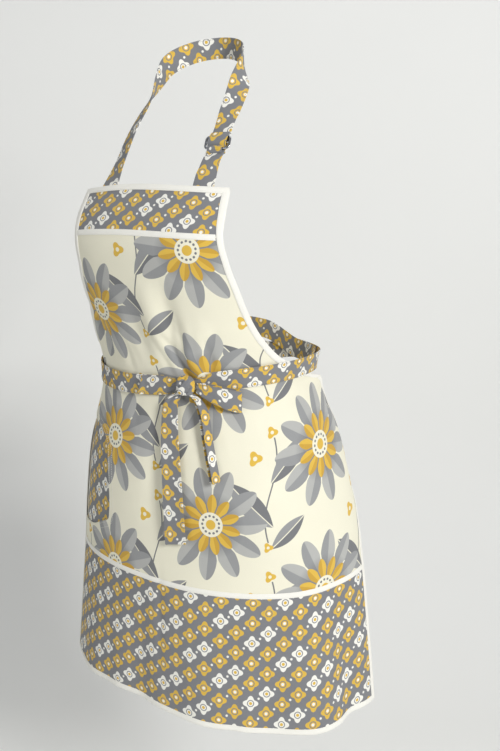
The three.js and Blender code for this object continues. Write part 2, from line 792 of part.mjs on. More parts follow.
// Where each strap passes the slider, as steps up the strap and out of its face
const behindSlider = [[24, -1], [9, -strapLift - 0.6], [0, -strapLift], [-STRAP_STUB, -strapLift]];
const neckRows = [...sewnEnd('right'), ...NECK_ROUTE,
  ...behindSlider.map(([up, out]) => strapRow(nearSlider(up, out), SLIDER.facing - 360))];
const overSlider = [[-26, 1], [-9, strapLift + 0.4], [0, strapLift], [9, strapLift],
  [STRAP_STUB, strapLift]];
const sliderRows = [...sewnEnd('left'),
  ...overSlider.map(([up, out]) => strapRow(nearSlider(up, out), SLIDER.facing))];

add('neck_strap', strap(neckRows, 50), COLOURS.contrast);
add('slider_strap', strap(sliderRows, 16), COLOURS.contrast);
add('slider', sliderFrame(), COLOURS.nickel, 0.28, 1);

export default apron;
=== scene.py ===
# %% [markdown]
# # A hostess apron, worn and tied
#
# The apron hangs from its neck strap in the form that it takes when it is worn. Nearly every piece is
# a sheet of cotton. A Solidify modifier could thicken a single sheet, but here each piece is made from
# two fine grids of points, the face and the back of the cloth, joined round the rim, so that the room
# between layers is known everywhere. The grids lie on one shared surface, the worn form, and panels,
# bindings, trims and stitches all follow the same folds.

# %% Load the frame
import math

import bpy
import numpy as np
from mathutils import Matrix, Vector


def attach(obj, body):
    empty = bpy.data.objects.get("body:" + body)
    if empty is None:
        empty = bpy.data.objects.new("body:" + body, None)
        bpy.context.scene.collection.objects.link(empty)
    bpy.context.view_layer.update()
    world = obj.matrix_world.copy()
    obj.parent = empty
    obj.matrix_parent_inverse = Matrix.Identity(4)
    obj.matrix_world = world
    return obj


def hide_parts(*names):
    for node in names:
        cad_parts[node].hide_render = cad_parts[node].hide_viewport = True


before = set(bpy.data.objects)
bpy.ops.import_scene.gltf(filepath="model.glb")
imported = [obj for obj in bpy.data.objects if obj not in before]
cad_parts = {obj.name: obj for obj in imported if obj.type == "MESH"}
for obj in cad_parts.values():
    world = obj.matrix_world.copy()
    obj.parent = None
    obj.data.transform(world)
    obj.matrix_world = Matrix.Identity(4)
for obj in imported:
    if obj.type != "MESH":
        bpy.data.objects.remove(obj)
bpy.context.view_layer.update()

# %% [markdown]
# ## Tables and smooth curves
#
# The sizes are in millimetres, measured down from the nape of the neck. A table has named columns,
# and a smooth curve runs through one column. Hermite curves need only the rows themselves, with the
# slope at each row taken from its two neighbours.

# %% Tables, curves and easing
MM = 0.001


def table(columns, rows):
    return {name: np.array(column, float) for name, column in zip(columns, zip(*rows))}


def curve(key, values):
    """A smooth function through a table's rows, which keeps its end values outside them."""
    order = np.argsort(key)
    x, y = np.asarray(key, float)[order], np.asarray(values, float)[order]
    last = len(x) - 1
    place = np.arange(last + 1)
    behind, ahead = np.maximum(place - 1, 0), np.minimum(place + 1, last)
    slope = (y[ahead] - y[behind]) / (x[ahead] - x[behind])

    def at(t):
        t = np.clip(np.asarray(t, float), x[0], x[last])
        i = np.clip(np.searchsorted(x, t) - 1, 0, last - 1)
        span = x[i + 1] - x[i]
        u = (t - x[i]) / span
        rest = 1 - u
        ends = y[i] * rest**2 * (1 + 2 * u) + y[i + 1] * u**2 * (3 - 2 * u)
        return ends + span * u * rest * (slope[i] * rest - slope[i + 1] * u)

    return at


def smoothstep(t):
    u = np.clip(t, 0, 1)
    return u * u * (3 - 2 * u)


def mix(a, b, t):
    return a + (b - a) * t


# %% [markdown]
# ## The worn form
#
# Seen from above, the apron wraps part of a rounded ring, and the ring's width, depth and squareness
# change with height. A point of the cloth is named by its angle round the body, from the front and
# positive to the wearer's left, and by its height on the cloth. Folds are added to the ring's radius:
# the main ones are in the solids too, and the fine creases are drawn only here. A cloth simulation
# could find such a form, but a rule gives the same one on every run and lets each layer lie on the
# next.

# %% Heights and rings
BIB_TOP, BIB_SEAM, CORNER, HEM_SEAM, HEM = -161, -214, -406, -641, -812
AXIS_Y, BACK_FLATNESS = -15, 0.76

RINGS = table(("height", "centre", "half_width", "depth", "power"), [
    (-162, -20, 155, 120, 2.4),
    (-216, -18, 176, 156, 2.5),
    (-265, -16, 172, 155, 2.4),
    (-318, -13, 160, 142, 2.3),
    (-368, -11, 149, 130, 2.2),
    (-402, -11, 144, 125, 2.2),
    (-436, -5, 155, 130, 2.2),
    (-492, 3, 176, 148, 2.2),
    (-565, 9, 192, 158, 2.2),
    (-645, 12, 204, 167, 2.1),
    (-825, 17, 229, 180, 2.1),
])

# %% Edges and hang
ARMHOLE = table(("height", "left", "right"), [
    (BIB_TOP, 45, -43),
    (-185, 41.5, -38),
    (-214, 39, -33.5),
    (-245, 41, -33.5),
    (-275, 44.5, -36),
    (-304, 48.5, -39),
    (-331, 54, -44),
    (-353, 61, -52),
    (-367, 67.5, -60),
    (-385, 80, -74),
    (-397, 92, -84),
    (CORNER, 102, -90),
])
SIDE = table(("height", "left", "right"), [
    (CORNER, 102, -90),
    (-440, 106, -86),
    (-474, 107, -76),
    (-507, 106, -65),
    (-546, 101, -60.5),
    (-580, 95, -60),
    (HEM_SEAM, 91.5, -60),
    (HEM, 86.5, -61.5),
])
HANG = table(("angle", "drop"), [(-90, 4), (-55, 0), (-25, -7), (0, -3), (30, 5), (60, 11), (90, 3)])
HANG_TOP = -410
BIB_BOW_LEFT, BIB_BOW_RIGHT, BIB_BOW_ANGLE, BIB_BOW_END = 2.5, 9, 42, -300
TURN_FROM, TURN_TO = 86, 102
TURN_LIFT = table(("height", "lift"), [
    (-398, 0),
    (-404, 6),
    (-410, 7),
    (-420, 3),
    (-432, 0.5),
    (-446, -1),
    (-465, -1.5),
    (-480, -3.5),
    (-500, -7),
    (-525, -10.5),
    (-550, -12),
    (-585, -10.5),
    (-625, -6),
    (-670, -2),
    (-700, 0),
])

ring = {name: curve(RINGS["height"], RINGS[name]) for name in ("centre", "half_width", "depth", "power")}
hang_drop = curve(HANG["angle"], HANG["drop"])
turn_lift = curve(TURN_LIFT["height"], TURN_LIFT["lift"])
armhole = {side: curve(ARMHOLE["height"], ARMHOLE[side]) for side in ("left", "right")}
side_edge = {side: curve(SIDE["height"], SIDE[side]) for side in ("left", "right")}
print("waist corners, half width and depth in mm:", ring["half_width"](CORNER), ring["depth"](CORNER))

# %% Folds and creases
FOLD_COLUMNS = ("angle_top", "angle_bottom", "width", "depth", "top", "bottom", "to_hem")
MAIN_FOLDS = table(FOLD_COLUMNS, [
    (13, 14, 4.5, -5, -245, -388, 0),
    (2, 6, 5, 4, -250, -388, 0),
    (-9, -3, 5, -3, -285, -388, 0),
    (-32, -36, 4, -4, -315, -392, 0),
    (30, 25, 5, 3, -300, -380, 0),
    (2, -6, 6, -3, -430, -600, 0),
    (42, 46, 9, 3, -440, -640, 0),
    (-8, -10, 7, -5, -580, HEM, 1),
    (18, 20, 9, 4, -600, HEM, 1),
    (44, 46, 8, -4, -600, HEM, 1),
    (60, 62, 7, 5, -580, HEM, 1),
    (74, 76, 5, -8, -600, HEM, 1),
    (-36, -38, 8, 4, -640, HEM, 1),
])
FINE_CREASES = table(FOLD_COLUMNS, [
    (4, 30, 2.3, -5.5, -318, -426, 0),
    (11, 36, 2.8, 2.6, -318, -420, 0),
    (-4, 17, 2.5, -1.8, -312, -414, 0),
    (28, 37, 2.3, -2.6, -318, -408, 0),
    (-42, -29, 2.4, -2.8, -285, -402, 0),
    (-20, -14, 2.2, -1.8, -330, -404, 0),
    (17, 19, 1.9, -1.7, -290, -392, 0),
    (22, 22, 2.2, 1.4, -300, -390, 0),
    (8, 14, 2.2, 1.2, -310, -390, 0),
    (-17, -9, 2.6, -1.1, -325, -392, 0),
    (-25, -20, 2.2, 0.9, -330, -392, 0),
    (36, 31, 2.5, -1.2, -310, -386, 0),
    (45, 40, 3, 0.9, -335, -386, 0),
    (5, 2, 2.2, -1.1, -408, -480, 0),
    (24, 26, 2.4, -1.2, -408, -505, 0),
    (34, 37, 2.4, 1, -408, -490, 0),
    (-14, -17, 2.5, -1.1, -408, -490, 0),
    (-30, -34, 2.4, 0.9, -408, -480, 0),
    (53, 57, 3, -1.1, -403, -500, 0),
    (68, 71, 3, 0.9, -403, -500, 0),
    (31, 32, 3.4, -1.4, -640, HEM, 1),
    (-21, -22, 3.6, 1.2, -650, HEM, 1),
    (1.5, 1.5, 1.8, -2.4, -596, -800, 0),
])


def fold_depth(angle, height):
    total = np.zeros(np.broadcast(angle, height).shape)
    for folds in (MAIN_FOLDS, FINE_CREASES):
        for first, last, width, depth, top, bottom, to_hem in zip(*(folds[c] for c in FOLD_COLUMNS)):
            t = np.clip((top - height) / (top - bottom), 0, 1)
            fade = smoothstep(t) if to_hem else np.sin(np.pi * t) ** 2
            total = total + depth * fade * np.exp(-(((angle - mix(first, last, t)) / width) ** 2))
    return total


print(len(MAIN_FOLDS["depth"]), "main folds and", len(FINE_CREASES["depth"]), "fine creases")

# %% Points of the cloth
def edge_lift(angle, height):
    """The free edge at the wearer's left stands out at the waist corner and turns in below it."""
    around = np.maximum((angle - TURN_FROM) / (TURN_TO - TURN_FROM), 0)
    return turn_lift(height) * around**2


def body_point(angle, z, lift):
    angle, z, lift = np.broadcast_arrays(*(np.asarray(v, float) for v in (angle, z, lift)))
    across, ahead = np.sin(np.radians(angle)), np.cos(np.radians(angle))
    depth = ring["depth"](z) * np.where(ahead < 0, BACK_FLATNESS, 1)
    power = ring["power"](z)
    reach = np.abs(across / ring["half_width"](z)) ** power + np.abs(ahead / depth) ** power
    radius = reach ** (-1 / power) + lift
    return np.stack([ring["centre"](z) + radius * across, AXIS_Y - radius * ahead, z], -1)


def cloth_point(angle, height):
    angle, height = np.asarray(angle, float), np.asarray(height, float)
    below = np.clip((HANG_TOP - height) / (HANG_TOP - HEM), 0, 1)
    bow = np.where(angle < 0, BIB_BOW_RIGHT, BIB_BOW_LEFT) * (angle / BIB_BOW_ANGLE) ** 2
    bib_share = smoothstep((height - BIB_BOW_END) / (BIB_SEAM - BIB_BOW_END))
    z = height - hang_drop(angle) * below**2 - bow * bib_share
    return body_point(angle, z, fold_depth(angle, height) + edge_lift(angle, height))


# %% Off the cloth and along its rows
NORMAL_TURN, NORMAL_RISE = 0.3, 0.6


def unit(vectors):
    return vectors / np.maximum(np.linalg.norm(vectors, axis=-1, keepdims=True), 1e-9)


def cloth_normal(angle, height):
    around = cloth_point(angle + NORMAL_TURN, height) - cloth_point(angle - NORMAL_TURN, height)
    up = cloth_point(angle, height + NORMAL_RISE) - cloth_point(angle, height - NORMAL_RISE)
    return unit(np.cross(around, up))


def cloth(angle, height, offset):
    """Points that lie an offset in front of the cloth's middle, or behind it where that is negative."""
    lift = np.asarray(offset, float)[..., None]
    return cloth_point(angle, height) + cloth_normal(angle, height) * lift


def degrees_for(length, angle, height):
    """Degrees that a length covers, from the length of one degree of the row there."""
    step = cloth_point(angle + 0.5, height) - cloth_point(angle - 0.5, height)
    return length / np.linalg.norm(step, axis=-1)


def edge_angle(height, side):
    return np.where(height > CORNER, armhole[side](height), side_edge[side](height))


print("centre front of the hem in mm:", cloth_point(0, HEM).round(1))

# %% [markdown]
# ## The flat cloth
#
# A print is drawn on flat cloth before the apron is cut, so each point also carries its place on the
# flat cloth: how far it lies round the row from the centre front, and how far down the front. A UV map
# could hold that, but it belongs to the corners of faces. An attribute named "cloth" belongs to the
# points themselves, and the materials read it in metres.

# %% Flat places
FLAT_ANGLES = np.linspace(-115, 115, 461)
FLAT_HEIGHTS = np.linspace(BIB_TOP + 4, HEM - 4, 330)


def run_along(points):
    """How far along a chain each of its points lies."""
    return np.concatenate([[0], np.cumsum(np.linalg.norm(np.diff(points, axis=0), axis=1))])


front_run = run_along(cloth_point(np.zeros_like(FLAT_HEIGHTS), FLAT_HEIGHTS))
print("length down the front in mm:", round(front_run[-1]))


def flat_place(angles, heights):
    """Flat (across, down) in mm for a grid of angles, one height for each row."""
    across = np.empty(angles.shape)
    for i, height in enumerate(heights):
        run = run_along(cloth_point(FLAT_ANGLES, np.full_like(FLAT_ANGLES, height)))
        run -= np.interp(0, FLAT_ANGLES, run)
        across[i] = np.interp(angles[i], FLAT_ANGLES, run)
    down = np.interp(-np.asarray(heights), -FLAT_HEIGHTS, front_run)
    return np.stack([across, np.broadcast_to(-down[:, None], across.shape)], -1)


# %% Cloth meshes
SHARP_EDGE = math.radians(50)


def mesh_piece(name, points, faces, flat, finish):
    """A smooth mesh in metres whose points carry their places on the flat cloth."""
    mesh = bpy.data.meshes.new(name)
    mesh.from_pydata(points * MM, [], faces)
    place = np.zeros((len(points), 3), np.float32)
    place[:, :2] = flat * MM
    mesh.attributes.new("cloth", "FLOAT_VECTOR", "POINT").data.foreach_set("vector", place.ravel())
    mesh.polygons.foreach_set("use_smooth", np.ones(len(mesh.polygons), bool))
    mesh.set_sharp_from_angle(angle=SHARP_EDGE)
    mesh.materials.append(finish)
    piece = bpy.data.objects.new(name, mesh)
    bpy.context.scene.collection.objects.link(piece)
    return piece


def cloth_wall(name, face, back, flat, finish):
    """A closed sheet between two grids of points, with its faces turned outwards."""
    rows, columns = face.shape[:2]
    count = rows * columns
    index = np.arange(count).reshape(rows, columns)

    def quads(a, b, c, d):
        return np.stack([a.ravel(), b.ravel(), c.ravel(), d.ravel()], 1)

    front = quads(index[:-1, :-1], index[:-1, 1:], index[1:, 1:], index[1:, :-1])
    loop = np.concatenate([index[0, :-1], index[:-1, -1], index[-1, :0:-1], index[:0:-1, 0]])
    turn = np.roll(loop, -1)
    rim = quads(loop, loop + count, turn + count, turn)
    faces = np.concatenate([front, front[:, ::-1] + count, rim])
    points = np.concatenate([face.reshape(-1, 3), back.reshape(-1, 3)])
    a, b, c, d = (points[faces[:, i]] for i in range(4))
    volume = np.einsum("ij,ij->", a, np.cross(b, c)) + np.einsum("ij,ij->", a, np.cross(c, d))
    if volume < 0:
        faces = faces[:, ::-1]
    both = np.concatenate([flat.reshape(-1, 2)] * 2)
    return mesh_piece(name, points, faces.tolist(), both, finish)


def dress(piece, node):
    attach(piece, "root")
    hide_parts(node)
    print(piece.name, len(piece.data.polygons), "faces, stands for", node)
    return piece


# %% [markdown]
# ## Shader maths
#
# The prints are sums of simple shapes: rings, petals and leaves inside a repeating cell. Written as
# node links that would be hard to read, so a small class wraps a socket and turns Python operators
# into Math nodes. A second class holds the material, and one of its methods adds any other node.

# %% A field of values on the cloth
PRINT_EDGE = 0.3


class Field:
    """A shader socket that does arithmetic."""

    def __init__(self, finish, socket):
        self.finish, self.socket = finish, socket

    def math(self, operation, *values, clamp=False):
        settings = {"operation": operation, "use_clamp": clamp}
        made = self.finish.node("ShaderNodeMath", settings, dict(enumerate(values)))
        return Field(self.finish, made.outputs[0])

    def __add__(self, other):
        return self.math("ADD", self, other)

    def __sub__(self, other):
        return self.math("SUBTRACT", self, other)

    def __rsub__(self, other):
        return self.math("SUBTRACT", other, self)

    def __mul__(self, other):
        return self.math("MULTIPLY", self, other)

    def __truediv__(self, other):
        return self.math("DIVIDE", self, other)

    def __mod__(self, other):
        return self.math("FLOORED_MODULO", self, other)

    def __pow__(self, other):
        return self.math("POWER", self, other)

    def __abs__(self):
        return self.math("ABSOLUTE", self)

    def floor(self):
        return self.math("FLOOR", self)

    def cos(self):
        return self.math("COSINE", self)

    def sin(self):
        return self.math("SINE", self)

    def over(self, edge=0, softness=PRINT_EDGE):
        """1 where the field is above an edge, 0 below it, with a soft step between."""
        return self.math("MULTIPLY_ADD", self - edge, 1 / softness, 0.5, clamp=True)


# %% A material under construction
class Finish:
    """A material, with one method that adds any node."""

    def __init__(self, name):
        self.material = bpy.data.materials.new(name)
        self.material.use_nodes = True
        self.tree = self.material.node_tree
        self.shader = self.tree.nodes["Principled BSDF"]

    def node(self, kind, settings=None, inputs=None):
        made = self.tree.nodes.new(kind)
        for name, value in (settings or {}).items():
            setattr(made, name, value)
        for key, value in (inputs or {}).items():
            self.feed(made.inputs[key], value)
        return made

    def feed(self, socket, value):
        if isinstance(value, Field):
            value = value.socket
        if isinstance(value, bpy.types.NodeSocket):
            self.tree.links.new(value, socket)
        else:
            socket.default_value = value

    def set(self, **values):
        for name, value in values.items():
            self.feed(self.shader.inputs[name.replace("_", " ").title()], value)

    def flat_fields(self):
        """Across and down the flat cloth in millimetres, and the flat place as a vector."""
        place = self.node("ShaderNodeAttribute", {"attribute_name": "cloth"})
        parts = self.node("ShaderNodeSeparateXYZ", None, {0: place.outputs["Vector"]})
        return [Field(self, parts.outputs[i]) * (1 / MM) for i in range(2)], place.outputs["Vector"]

    def object_place(self):
        return self.node("ShaderNodeTexCoord").outputs["Object"]

    def blend(self, share, under, over, kind="MIX"):
        """One colour over another. A Mix node's colours are its sockets 6 and 7."""
        settings = {"data_type": "RGBA", "blend_type": kind}
        return self.node("ShaderNodeMix", settings, {0: share, 6: under, 7: over}).outputs[2]

    def noise(self, vector, scale, detail):
        inputs = {"Vector": vector, "Scale": scale, "Detail": detail}
        return Field(self, self.node("ShaderNodeTexNoise", None, inputs).outputs["Fac"])

    def bump(self, height, strength, distance):
        inputs = {"Strength": strength, "Distance": distance, "Height": height}
        return self.node("ShaderNodeBump", None, inputs).outputs["Normal"]


# %% Colours
def colour(code):
    """A linear colour from a web colour code."""
    parts = [int(code[i:i + 2], 16) / 255 for i in (1, 3, 5)]
    return tuple(p / 12.92 if p <= 0.04045 else ((p + 0.055) / 1.055) ** 2.4 for p in parts) + (1.0,)


# %% [markdown]
# ## Cotton
#
# Both prints and the white binding are the same plain weave: threads about half a millimetre apart
# that go over and under, a slow unevenness in the colour, and a soft matt surface with a little sheen.
# A picture of cloth would do this too, but it has one size and repeats. Two sine waves keep the
# threads' pitch on every piece, so one function adds them to any print.

# %% The weave that every cloth shares
THREAD_PITCH, THREAD_HEIGHT = 0.55, 0.35
SLUB_SCALE, SLUB_HEIGHT, SLUB_SHADE = 900, 0.5, 0.08
CRUMPLE_SCALE, CRUMPLE_HEIGHT = 55, 4
DYE_SCALE, DYE_SHADE, LEAST_SHADE = 14, 0.1, 0.9
WEAVE_STRENGTH, WEAVE_DISTANCE = 0.35, 0.0006
COTTON_ROUGHNESS, THREAD_ROUGHNESS = 0.86, 0.03
COTTON_SHEEN, SHEEN_ROUGHNESS = 0.12, 0.6


def weave(finish, across, down, vector, print_colour):
    turn = 2 * math.pi / THREAD_PITCH
    threads = (across * turn).sin() * (down * turn).sin()
    slubs = finish.noise(vector, SLUB_SCALE, 2)
    crumple = finish.noise(vector, CRUMPLE_SCALE, 3)
    height = threads * THREAD_HEIGHT + slubs * SLUB_HEIGHT + crumple * CRUMPLE_HEIGHT
    uneven = finish.noise(vector, DYE_SCALE, 2) * DYE_SHADE + slubs * SLUB_SHADE + LEAST_SHADE
    shade = finish.node("ShaderNodeCombineColor", None, {0: uneven, 1: uneven, 2: uneven})
    finish.set(
        base_color=finish.blend(1.0, print_colour, shade.outputs[0], "MULTIPLY"),
        roughness=threads * THREAD_ROUGHNESS + COTTON_ROUGHNESS,
        normal=finish.bump(height, WEAVE_STRENGTH, WEAVE_DISTANCE),
        sheen_weight=COTTON_SHEEN,
        sheen_roughness=SHEEN_ROUGHNESS,
    )
    print(finish.material.name, "has", len(finish.tree.nodes), "nodes")
    return finish.material


# %% Cells of a print
def half_drop(across, down, width, height):
    """Place in a repeating cell whose odd columns sit half a step lower, and the cell's numbers."""
    column = (across / width).floor()
    place = down / height + (column % 2) * 0.5
    row = place.floor()
    x = (across / width - column - 0.5) * width
    y = (place - row - 0.5) * height
    return x, y, column, row


def between_cells(across, down, width, height):
    """Place in the same cells, moved so that each is centred on a space between the others."""
    x, y, _, _ = half_drop(across + width / 2, down + height / 4, width, height)
    return x, y


def polar(x, y):
    return (x * x + y * y) ** 0.5, x.math("ARCTAN2", y, x)


# %% [markdown]
# ## The border print
#
# The bands, straps and ties are a grey cotton with a small foulard: four-lobed motifs in mustard and
# white, set in a half-drop grid, with pin dots in the spaces. It is a common tie and dress pattern.
# It could be laid on as small meshes, but a print has no thickness, so it is drawn in the colour from
# one polar curve.

# %% Foulard cotton
GREY, MUSTARD, WHITE, CREAM = (colour(code) for code in ("#7c7d80", "#dcb546", "#f1efe6", "#ece8d2"))
FOULARD_WIDTH, FOULARD_HEIGHT = 19.5, 25
LOBES, LOBE_REACH, LOBE_SWING, LOBE_MEAN = 4, 9.6, 0.17, 0.83
HEART_SHARE, RING_SHARE, RING_HALF, DOT_REACH = 0.2, 0.4, 0.55, 1.5


def foulard():
    finish = Finish("foulard_cotton")
    (across, down), vector = finish.flat_fields()
    x, y, column, row = half_drop(across, down, FOULARD_WIDTH, FOULARD_HEIGHT)
    reach, turn = polar(x, y)
    lobes = (turn * LOBES).cos() * LOBE_SWING + LOBE_MEAN
    motif = (lobes * LOBE_REACH - reach).over()
    heart = (LOBE_REACH * HEART_SHARE - reach).over()
    ring_line = (RING_HALF - abs(reach - LOBE_REACH * RING_SHARE)).over()
    white_share = ((column + row * 2) % 3).over(1.5, 0.2)
    dot_reach, _ = polar(*between_cells(across, down, FOULARD_WIDTH, FOULARD_HEIGHT))
    dots = (DOT_REACH - dot_reach).over()
    petal_colour = finish.blend(white_share, MUSTARD, WHITE)
    heart_colour = finish.blend(white_share, WHITE, MUSTARD)
    ground = finish.blend(dots, GREY, WHITE)
    print_colour = finish.blend(motif, ground, petal_colour)
    print_colour = finish.blend(ring_line, print_colour, GREY)
    print_colour = finish.blend(heart, print_colour, heart_colour)
    return weave(finish, across, down, vector, print_colour)


foulard_cotton = foulard()

# %% [markdown]
# ## The main print
#
# The body is a cream cotton with large daisies, pointed leaves and small buds. Each motif has its own
# half-drop cell, and the cells are shifted so that the leaves fill the spaces between the flowers. A
# petal is a slice of the circle round the flower, with a lighter and a darker half, and a shorter ring
# of mustard petals lies on the grey one. As maths the print stays sharp at any distance.

# %% Petals and leaves
PETALS, PETAL_ROUNDING, PETAL_NOTCH, PETAL_SLIT = 11, 1.7, 0.42, 0.9
LEAF_LENGTH, LEAF_HALF_WIDTH, RIB_HALF = 40, 14, 0.6


def turned(x, y, degrees):
    c, s = math.cos(math.radians(degrees)), math.sin(math.radians(degrees))
    return x * c + y * s, y * c - x * s


def leaf(x, y, at_x, at_y, degrees, size):
    """Shares of a pointed leaf, of its darker half and of its midrib."""
    along, beside = turned(x - at_x, y - at_y, degrees)
    bulge = 1 - (along / (LEAF_LENGTH * size)) ** 2
    body = (bulge * (LEAF_HALF_WIDTH * size) - abs(beside)).over()
    return body, beside.over(), (RIB_HALF - abs(beside)).over()


def petal_ring(place, reach, length):
    """Share of a ring of petals, and the place across each petal, from the number of petals passed."""
    beside = place - place.floor() - 0.5
    apart = abs(beside) * 2
    tip = (1 - apart**PETAL_ROUNDING * PETAL_NOTCH) * length
    slit = (1 - apart) * reach * (math.pi / PETALS)
    return (tip - reach).over() * slit.over(PETAL_SLIT), beside


# %% Sprigs
STEM_HALF, STEM_REACH, STEM_SWAY, STEM_WAVE = 0.9, 60, 7, 0.045
LEAVES = ((23, 34, 48, 0.86), (-24, -16, 136, 0.95), (22, -50, 40, 0.7))
BUDS = ((-20, 38, 8.5), (0, 66, 7), (-3, -66, 6))
BUD_LOBES, BUD_SWING, BUD_MEAN, BUD_EYE = 3, 0.22, 0.86, 0.3
LIGHT_GREY, MID_GREY, DARK_GREY = colour("#b2b2ae"), colour("#949595"), colour("#747577")


def sprigs(finish, x, y):
    """A stem with its leaves and buds on the cream ground."""
    stem = (STEM_HALF - abs(x - (y * STEM_WAVE).sin() * STEM_SWAY)).over()
    stem = stem * (STEM_REACH - abs(y)).over()
    print_colour = finish.blend(stem, CREAM, DARK_GREY)
    for at_x, at_y, degrees, size in LEAVES:
        body, half, rib = leaf(x, y, at_x, at_y, degrees, size)
        print_colour = finish.blend(body, print_colour, finish.blend(half, DARK_GREY, MID_GREY))
        print_colour = finish.blend(rib * body, print_colour, CREAM)
    for at_x, at_y, size in BUDS:
        reach, turn = polar(x - at_x, y - at_y)
        bud = ((turn * BUD_LOBES).cos() * BUD_SWING + BUD_MEAN) * size - reach
        print_colour = finish.blend(bud.over(), print_colour, MUSTARD)
        print_colour = finish.blend((size * BUD_EYE - reach).over(), print_colour, CREAM)
    return print_colour


# %% Daisies over the sprigs
DAISY_WIDTH, DAISY_HEIGHT, DAISY_REACH, INNER_REACH = 146, 168, 69, 37
TURN_BY_COLUMN, TURN_BY_ROW, PETAL_CREASE = 0.9, 0.5, 0.02
SHADOW_REACH, SHADOW_FADE, SHADOW_SHARE = 34, 16, 0.7
DISC_REACH, EYE_REACH = 15, 6
SEEDS, SEED_RING, SEED_REACH, SEED_SPREAD = 13, 10.6, 1.4, 4.6
DEEP_MUSTARD = colour("#c99f38")


def daisies():
    finish = Finish("daisy_cotton")
    (across, down), vector = finish.flat_fields()
    print_colour = sprigs(finish, *between_cells(across, down, DAISY_WIDTH, DAISY_HEIGHT))
    x, y, column, row = half_drop(across, down, DAISY_WIDTH, DAISY_HEIGHT)
    reach, turn = polar(x, y)
    place = (turn + column * TURN_BY_COLUMN + row * TURN_BY_ROW) * (PETALS / (2 * math.pi))
    petal, beside = petal_ring(place, reach, DAISY_REACH)
    tone = finish.blend(beside.over(0, PETAL_CREASE), LIGHT_GREY, MID_GREY)
    tone = finish.blend((SHADOW_REACH - reach).over(0, SHADOW_FADE) * SHADOW_SHARE, tone, DARK_GREY)
    print_colour = finish.blend(petal, print_colour, tone)
    petal, beside = petal_ring(place + 0.5, reach, INNER_REACH)
    tone = finish.blend(beside.over(0, PETAL_CREASE), MUSTARD, DEEP_MUSTARD)
    print_colour = finish.blend(petal, print_colour, tone)
    print_colour = finish.blend((DISC_REACH - reach).over(), print_colour, CREAM)
    seed_place = turn * (SEEDS / (2 * math.pi))
    seed = (abs(seed_place - seed_place.floor() - 0.5) * SEED_SPREAD) ** 2 + (reach - SEED_RING) ** 2
    print_colour = finish.blend((SEED_REACH - seed**0.5).over(), print_colour, DARK_GREY)
    print_colour = finish.blend((EYE_REACH - reach).over(), print_colour, MUSTARD)
    return weave(finish, across, down, vector, print_colour)


daisy_cotton = daisies()

# %% [markdown]
# ## White cotton, thread and nickel
#
# The bindings and trims are the same weave without a print. Sewing thread is twisted, so a fine noise
# raises it, and darkens its low grooves with painted shade. The strap's slider is plated wire: a metal
# whose gloss is uneven from handling, with hair scratches. Plain colours would do from afar, but each
# of these is looked at close up where a strap meets the slider.

# %% White cotton, thread and nickel
TWIST_SCALE, TWIST_STRENGTH, THREAD_SHADOW, SEWING_ROUGHNESS = 2500, 0.4, 0.82, 0.7
HAZE_SCALE, HAZE_ROUGHNESS, PLATE_ROUGHNESS = 180, 0.14, 0.1
SCRATCH_SCALE, SCRATCH_STRENGTH = 1600, 0.12
FINE_DISTANCE = 0.0002


def plain_cotton(name, shade):
    finish = Finish(name)
    (across, down), vector = finish.flat_fields()
    return weave(finish, across, down, vector, shade)


def sewing_thread(name, shade):
    finish = Finish(name)
    twist = finish.noise(finish.object_place(), TWIST_SCALE, 1)
    # painted shade: where the twist is low, its grooves are darkened to THREAD_SHADOW of the thread's
    # colour
    tone = finish.blend(twist, tuple(THREAD_SHADOW * c for c in shade[:3]) + (1.0,), shade)
    normal = finish.bump(twist, TWIST_STRENGTH, FINE_DISTANCE)
    finish.set(base_color=tone, roughness=SEWING_ROUGHNESS, normal=normal)
    return finish.material


def nickel_plate():
    finish = Finish("nickel_plate")
    place = finish.object_place()
    haze, scratch = finish.noise(place, HAZE_SCALE, 3), finish.noise(place, SCRATCH_SCALE, 2)
    tone = finish.blend(haze, colour("#96989c"), colour("#b9bcc0"))
    normal = finish.bump(scratch, SCRATCH_STRENGTH, FINE_DISTANCE)
    roughness = haze * HAZE_ROUGHNESS + PLATE_ROUGHNESS
    finish.set(base_color=tone, roughness=roughness, metallic=1.0, normal=normal)
    return finish.material


white_cotton = plain_cotton("white_cotton", WHITE)
white_thread = sewing_thread("white_thread", colour("#f4f2ea"))
grey_thread = sewing_thread("grey_thread", GREY)
nickel = nickel_plate()
print("other finishes:", white_thread.name, grey_thread.name, nickel.name)

# %% [markdown]
# ## The three panels
#
# The bib band, the body and the hem band are cut from flat cloth and share the worn form. The body is
# cut away at the wearer's right hip, where a deep pocket opening shows the facing behind it. A Boolean
# could cut the opening, but it leaves ragged faces along the edge, so each row of the body simply
# starts at the edge of the opening. Rows are closer together near the opening's two ends, and its
# corners stay smooth.

# %% Pocket opening
POCKET_TOP, POCKET_BOTTOM = -465, -612
POCKET_REACH = table(("height", "reach"), [
    (POCKET_TOP, 0), (-465.7, 13), (-467, 36), (-469, 60), (-471.5, 84), (-475.5, 105), (-486, 112.5),
    (-505, 102), (-525, 97.5), (-550, 97.5), (-575, 100), (-586, 98), (-592, 84), (-604, 56),
    (-608.5, 34), (-611, 13), (POCKET_BOTTOM, 0),
])
POCKET_TIPS = 20 * np.linspace(0, 1, 24) ** 2
tip_rows = np.concatenate([POCKET_TOP - POCKET_TIPS, POCKET_BOTTOM + POCKET_TIPS])
pocket_reach = curve(POCKET_REACH["height"], POCKET_REACH["reach"])
print("deepest reach of the opening in mm:", POCKET_REACH["reach"].max())

# %% Panels
PANEL_CLOTH, SEAM_GAP = 1.0, 0.15


def cloth_grid(first, last, heights, columns):
    """Angles and heights of a grid between two edges, with one row for each height."""
    angles = mix(first[:, None], last[:, None], np.linspace(0, 1, columns)[None, :])
    return angles, np.broadcast_to(heights[:, None], angles.shape)


